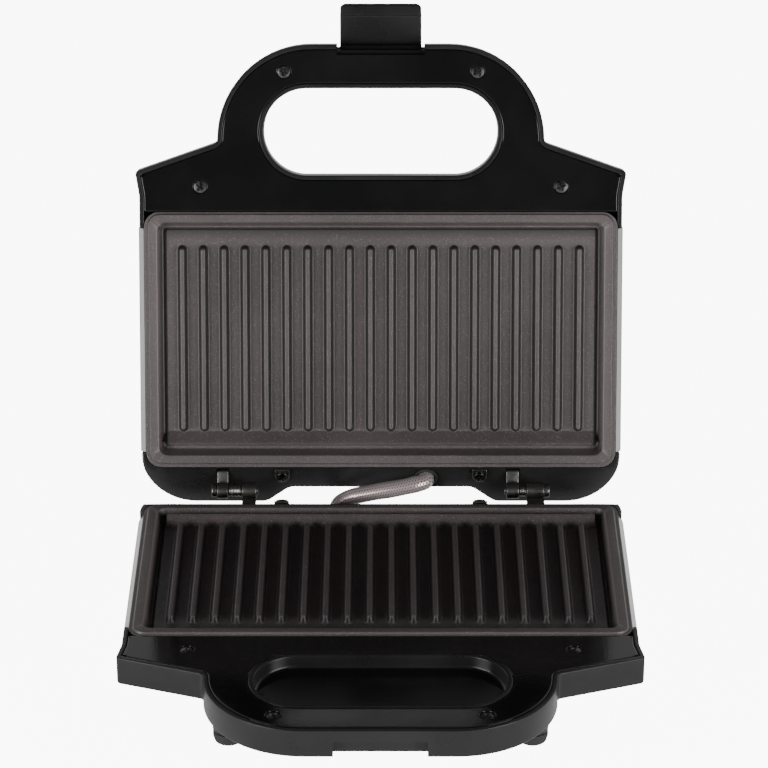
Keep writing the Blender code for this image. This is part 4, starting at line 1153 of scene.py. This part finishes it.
def grillPlate(name, half, node):
    # rings from the underside out to the flange and in to the floor, then the ribbed floor itself
    inner = ringSteps["side"][-1]
    inHalf = plate["side"] - inner
    rearEdge = plate["rear"] + ringSteps["rear"][-1]
    frontEdge = plate["front"] - ringSteps["front"][-1]
    spines = (np.arange(ribs["count"]) - (ribs["count"] - 1) / 2) * ribs["pitch"]
    offsets = np.array((-3.1, -2.75, -2.5, -2.25, -2.0, -1.6, -1.25, -1.05, -0.85, -0.6, 0.0))
    offsets = np.r_[offsets, -offsets[:-1][::-1]]
    lines = (spines[:, None] + offsets[None]).ravel()
    lines = lines[np.abs(lines) < inHalf - 1.0]
    xLines = np.r_[-inHalf, -inHalf + 0.6, lines, inHalf - 0.6, inHalf]
    low, high = ribs["span"]
    ends = np.r_[np.arange(0.0, 3.3, 0.3), 3.8]
    sLines = np.r_[rearEdge, plate["ramp"][0] + 0.05, np.linspace(25.0, 28.0, 4), low - 0.35,
                   low + ends, np.linspace(low + 5.0, high - 5.0, 12), high - ends[::-1],
                   high + 0.35, high + 2.5, frontEdge]
    sLines = np.unique(sLines)
    gridX, gridY = np.meshgrid(xLines, -sLines[::-1])
    floor = np.stack((gridX, gridY, floorLevel(gridX, gridY)), -1)
    ribShare = xLines / inHalf
    sideShare = (-sLines[::-1] + frontEdge) / (frontEdge - rearEdge)
    flange = plate["flange"]
    profile = softLine(
        (4.2, plate["under"], 0.0), (2.7, plate["under"] + 1.0, 0.6), (2.7, flange - 1.2, 0.2),
        (0.0, flange - 1.2, 0.25), (0.0, flange, 0.35), (1.7, flange, 0.35),
        (2.2, plate["rimTop"], 0.55), (6.45, plate["rimTop"], 0.6), (9.0, plate["channel"], 1.0),
        (11.15, plate["floor"], 0.25), (inner, plate["floor"], 0.0))
    steps = [(step, plate["floor"]) for step in (11.3, 11.4, 11.5, 11.6, 11.7, inner)]
    profile = np.vstack((profile[:-1], steps))
    rings = []
    for distance, level in profile:
        ring = plateRing(distance, ribShare, sideShare)
        lift = rampRaise(ring[:, 1]) * smooth((distance - 11.2) / 0.5)
        rings.append(withHeight(ring, level + lift))
    rings = np.array(rings)
    patches = [gridPatch(rings), gridPatch(floor, wrapColumns=False), filled(rings[0])]
    piece = make(name, joined(*patches), half, half, [node], coating, sharp=50.0)
    # paints shade and highlights into the coating's colour
    markPaintedLight(piece, half)


grillPlate("lowerGrillPlate", "base", "lower_grill_plate")
grillPlate("upperGrillPlate", "lid", "upper_grill_plate")
print("grill plates")


knuckle = {"radius": 4.0, "pin": 2.0, "head": 3.3, "spacer": 3.0}


def bracketPatch(low, high):
    # bent strap with a rolled eye
    thick, reach, drop, radius = hinges["thick"], hinges["reach"], hinges["drop"], knuckle["radius"]
    strap = [
        (0.0, -radius, 0.0),
        (-reach + thick, -radius, 0.6),
        (-reach + thick, drop, 1.6),
        (-18.0, drop, 0.3),
        (-18.0, drop + thick, 0.3),
        (-reach, drop + thick, 0.4),
        (-reach, -radius + thick, 2.0),
        (0.0, -radius + thick, 0.0),
    ]
    eye = softLine((0.0, low, 0.0), (radius, low, 0.35), (radius, high, 0.35), (0.0, high, 0.0))
    return joined(bar(list(reversed(strap)), low, high, 0.25), turned(eye, 64, axis="X"))


for half in ("base", "lid"):
    for number, (low, high) in enumerate(hinges[half], 1):
        make(f"{half}HingeBracket{number}", bracketPatch(low, high), half, half,
             [f"{half}_hinge_bracket_{number}"], plated)
        top = hinges["drop"] + hinges["thick"] + 1.5
        screwPlace = Matrix.Translation(((low + high) / 2, -14.4, top))
        make(f"{half}BracketScrew{number}", crossHead(3.2, 0.0, screwPlace), half, half,
             [f"{half}_bracket_screw_{number}"], screwBlack)

for word in ("left", "right"):
    low, high = localBox(f"hinge_pin_{word}", "base")
    headEnd, tip, inner = (low[0], high[0], 1) if word == "left" else (high[0], low[0], -1)
    neck = headEnd + inner * 2.5
    profile = softLine((0.0, headEnd, 0.0), (knuckle["head"], headEnd, 0.7),
                       (knuckle["head"], neck, 0.3), (knuckle["pin"], neck, 0.0),
                       (knuckle["pin"], tip, 0.3), (0.0, tip, 0.0))
    make(f"hingePin{word.title()}", turned(profile, 48, axis="X"), "base", "base",
         [f"hinge_pin_{word}"], plated)
    low, high = localBox(f"hinge_spacer_{word}", "base")
    # four turns of a coil: the radius swells and narrows along the spacer
    along = np.linspace(low[0], high[0], 61)
    coils = (along - low[0]) / (high[0] - low[0]) * math.pi * 4
    waves = knuckle["spacer"] - 0.35 * (1.0 - np.abs(np.sin(coils)))
    profile = np.r_[[(0.0, low[0])], np.stack((waves, along), 1), [(0.0, high[0])]]
    make(f"hingeSpacer{word.title()}", turned(profile, 48, axis="X"), "base", "base",
         [f"hinge_spacer_{word}"], plated)

clip = {"x": 49.5, "half": 3.7, "length": 8.6, "thick": 1.2, "gap": 0.3}
for half in ("base", "lid"):
    for number, sign in ((1, -1), (2, 1)):
        place = slopeFrame(sign * clip["x"], -shell["slopeStart"])
        wide, far, tipRound = clip["half"], clip["length"], clip["half"] - 0.02
        section = [(-wide, clip["gap"], 0.5), (wide, clip["gap"], 0.5), (wide, far, tipRound),
                   (-wide, far, tipRound)]
        tab = bar(section, clip["gap"], clip["gap"] + clip["thick"], 0.3, "Z")
        make(f"{half}PlateClip{number}", (moved(tab[0], place), tab[1]), half, half,
             [f"{half}_plate_clip_{number}"], plated)
        middle = Matrix.Translation((0.0, far - wide, 3.0)) @ Matrix.Rotation(0.4 * sign, 4, "Z")
        make(f"{half}ClipScrew{number}", crossHead(3.0, 0.0, place @ middle), half, half,
             [f"{half}_clip_screw_{number}"], screwBlack)


def revolved(loop, matrix):
    # a closed section of radius and height swept round its axis, open through the middle
    turns = np.arange(64) * math.tau / 64
    across, up = loop[:, :1] * np.cos(turns), loop[:, :1] * np.sin(turns)
    high = np.broadcast_to(loop[:, 1:], across.shape)
    vertices, faces = gridPatch(np.stack((across, up, high), -1), wrapRows=True)
    return moved(vertices, matrix), faces


def bushPatch(matrix, bore, flange, depth):
    # rubber bush with a rounded flange outside the wall
    outer = bore + 1.2
    section = [
        (bore, -depth, 0.2),
        (outer, -depth, 0.2),
        (outer, 0.3, 0.0),
        (flange, 0.3, 0.3),
        (flange, 1.3, 0.45),
        (bore, 1.3, 0.4),
    ]
    return revolved(outline(section, step=5.0, arcStep=15.0)[0], matrix)


facingRear = Matrix.Rotation(-math.pi / 2, 4, "X")
make("lidSleeveBush", bushPatch(slopeFrame(*sleeveHoles["lid"]), 4.5, 5.9, 3.0), "lid", "lid",
     ["lid_sleeve_grommet"], rubber)
baseHole = Matrix.Translation((sleeveHoles["base"][0], 0.0, sleeveHoles["base"][1])) @ facingRear
make("baseSleeveBush", bushPatch(baseHole, 4.5, 7.2, 3.0), "base", "base",
     ["base_sleeve_grommet"], rubber)
cordHole = Matrix.Translation((sleeveHoles["cord"][0], 0.0, sleeveHoles["cord"][1])) @ facingRear
# the gland tapers outwards, with grooves round it
along = np.linspace(0.3, 11.0, 90)
taper = 6.4 - 1.7 * (along - 0.3) / 10.7
ribbed = taper - 0.45 * smooth(np.sin(along * math.tau / 1.9) * 1.4 + 0.3) * (along > 2.4)
inside = [(3.3, 11.0), (3.3, -4.0), (5.3, -4.0), (5.3, 0.3), (7.5, 0.3), (7.5, 1.7), (7.2, 2.0)]
section = np.r_[inside, np.stack((ribbed, along), 1)[along > 2.1]]
make("cordGland", revolved(section, cordHole), "base", "base", ["cord_gland"], rubber)

# points along the middle of the wire sleeve, from the hinge axis, from the lid to the base
sleeveRoute = (
    (22.6, 12.7, 6.3), (22.6, 9.9, 5.25), (22.6, 7.05, 4.23), (21.9, 3.7, 3.2),
    (17.6, 1.2, 2.9), (9.2, 0.4, 1.2), (-4.4, 1.4, -2.0), (-14.5, 3.6, -5.6),
    (-20.3, 5.9, -10.2), (-22.5, 6.3, -14.8), (-22.8, 3.6, -18.6), (-22.8, -0.5, -19.5),
    (-22.8, -4.0, -19.5), (-22.8, -8.0, -19.5),
)


def smoothRoute(points, steps):
    # each stretch is a cubic whose slope at a point runs between that point's neighbours
    route = np.array(points)
    padded = np.vstack((2 * route[0] - route[1], route, 2 * route[-1] - route[-2]))
    share = (np.arange(steps) / steps)[None, :, None]
    spans = (padded[start:start + len(route) - 1][:, None] for start in range(4))
    before, here, ahead, beyond = spans
    curve = (2 * here + (ahead - before) * share
             + (2 * before - 5 * here + 4 * ahead - beyond) * share ** 2
             + (3 * here - before - 3 * ahead + beyond) * share ** 3) / 2
    return np.vstack((curve.reshape(-1, 3), route[-1:]))


def wireSleeve():
    # a circle carried along the route on a frame that turns as little as it can
    path = smoothRoute(sleeveRoute, 9)
    radius = 4.15
    ahead = np.gradient(path, axis=0)
    ahead /= np.linalg.norm(ahead, axis=1)[:, None]
    sideways = np.zeros_like(path)
    sideways[0] = np.cross(ahead[0], (0.0, 0.0, 1.0))
    for index in range(1, len(path)):              # each ring's frame follows the one before
        sideways[index] = sideways[index - 1] - ahead[index] * (sideways[index - 1] @ ahead[index])
        sideways[index] /= np.linalg.norm(sideways[index])
    upwards = np.cross(ahead, sideways)
    turns = (np.arange(40) * math.tau / 40)[None, :, None]
    wobble = 1.0 + 0.018 * np.sin(np.arange(len(path)) * 0.55)[:, None, None]
    spoke = sideways[:, None] * np.cos(turns) + upwards[:, None] * np.sin(turns)
    grid = path[:, None] + radius * wobble * spoke
    vertices, faces = gridPatch(grid, capRows=True)
    mesh = bpy.data.meshes.new("wireSleeve")
    mesh.from_pydata(moved(vertices, halfPlace["base"]).tolist(), [], faces)
    length = np.r_[0.0, np.cumsum(np.linalg.norm(np.diff(path, axis=0), axis=1))] / 60.0
    corners = np.zeros(len(mesh.loops), np.int32)
    mesh.loops.foreach_get("vertex_index", corners)
    quads = len(faces) - 2
    # each corner's share round the ring, 0 becoming 1 on the faces that close it
    wraps = corners % 40 / 40
    part = wraps[: quads * 4].reshape(-1, 4)
    closing = (part.max(1) == 39 / 40) & (part.min(1) == 0.0)
    part[closing[:, None] & (part == 0.0)] = 1.0
    layer = mesh.uv_layers.new(name="wrap")
    spots = np.stack((wraps, length[corners // 40]), 1)
    layer.data.foreach_set("uv", spots.astype(np.float32).ravel())
    builder = bmesh.new()
    builder.from_mesh(mesh)
    bmesh.ops.recalc_face_normals(builder, faces=builder.faces)
    builder.to_mesh(mesh)
    builder.free()
    mesh.shade_smooth()
    mesh.set_sharp_from_angle(angle=math.radians(50.0))
    piece = bpy.data.objects.new("wireSleeve", mesh)
    bpy.context.collection.objects.link(piece)
    dress(piece, None, ["wire_sleeve"], sleeveWeave)
    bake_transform(piece)


wireSleeve()
print("hinges, clips and sleeve")


latch = {
    "half": 20.2,
    "pivot": (-220.2, -8.0),
    "barrel": 2.2,
    "length": 22.3,
    "plate": (-5.2, -2.9),
    "lip": (16.4, 0.9),
    "corner": 3.0,
}


def latchPatch():
    # hook section carried across; its corners are rounded by drawing the ends in near the tip
    low, high = latch["plate"]
    lip, tip = latch["lip"]
    hook = [
        (1.6, -1.2, 0.0),
        (-1.6, -1.2, 0.3),
        (-1.6, high, 0.5),
        (-lip, high, 0.8),
        (-lip, tip, 0.5),
        (-latch["length"], tip, 1.4),
        (-latch["length"], low, 2.2),
        (1.6, low, 1.2),
    ]
    vertices, faces = bar(hook, -latch["half"], latch["half"], 0.5)
    over = np.clip(-vertices[:, 1] - (latch["length"] - latch["corner"]), 0.0, latch["corner"])
    drawn = latch["corner"] - np.sqrt(latch["corner"] ** 2 - over ** 2)
    vertices[:, 0] *= 1.0 - drawn / latch["half"]
    barrel = turned(plug(latch["barrel"], latch["half"], 0.4), 48, axis="X")
    patch = joined((vertices, faces), barrel)
    return patch[0] + np.array((0.0, *latch["pivot"])), patch[1]


make("latchClip", latchPatch(), "lid", "latch", ["latch"], satin)
pinEnd = localBox("latch_pin", "lid")[1][0]
pin = turned(plug(1.1, pinEnd, 0.2), 32, centre=(0.0, *latch["pivot"]), axis="X")
make("latchPin", pin, "lid", "lid", ["latch_pin"], plated)


ground = -hinge["pos_m"][2] / mm
top, stem = ground + feet["height"], ground + feet["height"] + 6.0
profile = softLine((0.0, ground + 0.4, 0.0), (3.6, ground + 0.4, 0.3), (4.2, ground, 0.4),
                   (6.4, ground, 1.4), (feet["radius"], ground + 3.0, 2.0),
                   (feet["radius"], top, 0.4), (2.2, top, 0.0), (2.2, stem, 0.6), (0.0, stem, 0.0))
for row in ("front", "rear"):
    for word, sign in (("left", -1), ("right", 1)):
        x, y = feet[row]
        foot = turned(profile, 64, centre=(sign * x, y, 0.0))
        make(f"foot{row.title()}{word.title()}", foot, "base", "base", [f"foot_{row}_{word}"],
             rubber)
print("latch and feet")


# pieces sealed inside keep their CAD shape
sealed = {
    "lower_heating_element": sheath,
    "upper_heating_element": sheath,
    "lower_reflector": panSheet,
    "upper_reflector": panSheet,
    "thermostat": ceramic,
    "terminal_block": ceramic,
    "indicator_lamp_holder": ceramic,
    "thermal_fuse": sheath,
}
for node, material in sealed.items():
    materials = frame["nodes"][node].data.materials
    materials.clear()
    materials.append(material)
print("inner pieces:", len(sealed))


view = {"lens": 158.9, "distance": 1.7, "pitch": 26.36, "up": 0.0534, "side": 0.0016}
light = {"power": 26.0, "elevation": 6.0, "azimuth": 48.0, "size": 0.8, "distance": 1.6}
stage = {
    "glow": (0.55, 9.0),     # floor's own light: on the object, and as seen
    "world": (0.06, 1.25),   # light from around, and from the low band behind
}


def makeFloor():
    # plain pale floor that stays near white
    mesh = bpy.data.meshes.new("floor")
    mesh.from_pydata([(-6, -6, 0), (6, -6, 0), (6, 6, 0), (-6, 6, 0)], [], [(0, 1, 2, 3)])
    floor = bpy.data.objects.new("floor", mesh)
    bpy.context.collection.objects.link(floor)
    sockets = {
        "Roughness": 0.9,
        "Specular IOR Level": 0.1,
        "Base Color": (0.9, 0.9, 0.9, 1.0),
        "Emission Color": (1.0, 1.0, 1.0, 1.0),
    }
    material, tree, shader = newMaterial("paleFloor", sockets)
    seen = addNode(tree, "ShaderNodeLightPath").outputs["Is Camera Ray"]
    glow = stretch(tree, seen, 0.0, 1.0, *stage["glow"])
    tree.links.new(glow, shader.inputs["Emission Strength"])
    mesh.materials.append(material)


def softBox(name, side):
    # square light in front and to one side, aimed at the middle of the object
    data = bpy.data.lights.new(name, "AREA")
    data.size = light["size"]
    data.energy = light["power"]
    lamp = bpy.data.objects.new(name, data)
    bpy.context.collection.objects.link(lamp)
    turn, lift = math.radians(side * light["azimuth"]), math.radians(light["elevation"])
    level = math.cos(lift)
    away = Vector((math.sin(turn) * level, -math.cos(turn) * level, math.sin(lift)))
    lamp.location = Vector((0.0, 0.0, 0.13)) + away * light["distance"]
    lamp.rotation_euler = away.to_track_quat("Z", "Y").to_euler()


def makeWorld():
    # bright low band behind, dim above and in front
    world = bpy.data.worlds.new("studio")
    world.use_nodes = True
    bpy.context.scene.world = world
    tree = world.node_tree
    spot = addNode(tree, "ShaderNodeTexCoord").outputs["Generated"]
    split = addNode(tree, "ShaderNodeSeparateXYZ")
    tree.links.new(spot, split.inputs[0])
    lowBand = stretch(tree, split.outputs[2], 0.75, 0.25)
    behind = stretch(tree, split.outputs[1], -0.1, 0.5)
    amount = mathNode(tree, "MULTIPLY", lowBand, behind)
    strength = stretch(tree, amount, 0.0, 1.0, *stage["world"])
    tree.links.new(strength, tree.nodes["Background"].inputs["Strength"])
    tree.nodes["Background"].inputs["Color"].default_value = (1.0, 1.0, 1.0, 1.0)


makeFloor()
makeWorld()
softBox("leftBox", -1)
softBox("rightBox", 1)
print("stage and lights")

pitch = math.radians(view["pitch"])
upward = Vector((0.0, math.sin(pitch), math.cos(pitch)))
aim = Vector(hinge["pos_m"]) + upward * view["up"] + Vector((view["side"], 0.0, 0.0))
back = Vector((0.0, -math.cos(pitch), math.sin(pitch)))
cameraData = bpy.data.cameras.new("camera")
cameraData.lens = view["lens"]
cameraData.sensor_width = 36.0
camera = bpy.data.objects.new("camera", cameraData)
camera.location = aim + back * view["distance"]
camera.rotation_euler = back.to_track_quat("Z", "Y").to_euler()
bpy.context.collection.objects.link(camera)
bpy.context.scene.camera = camera
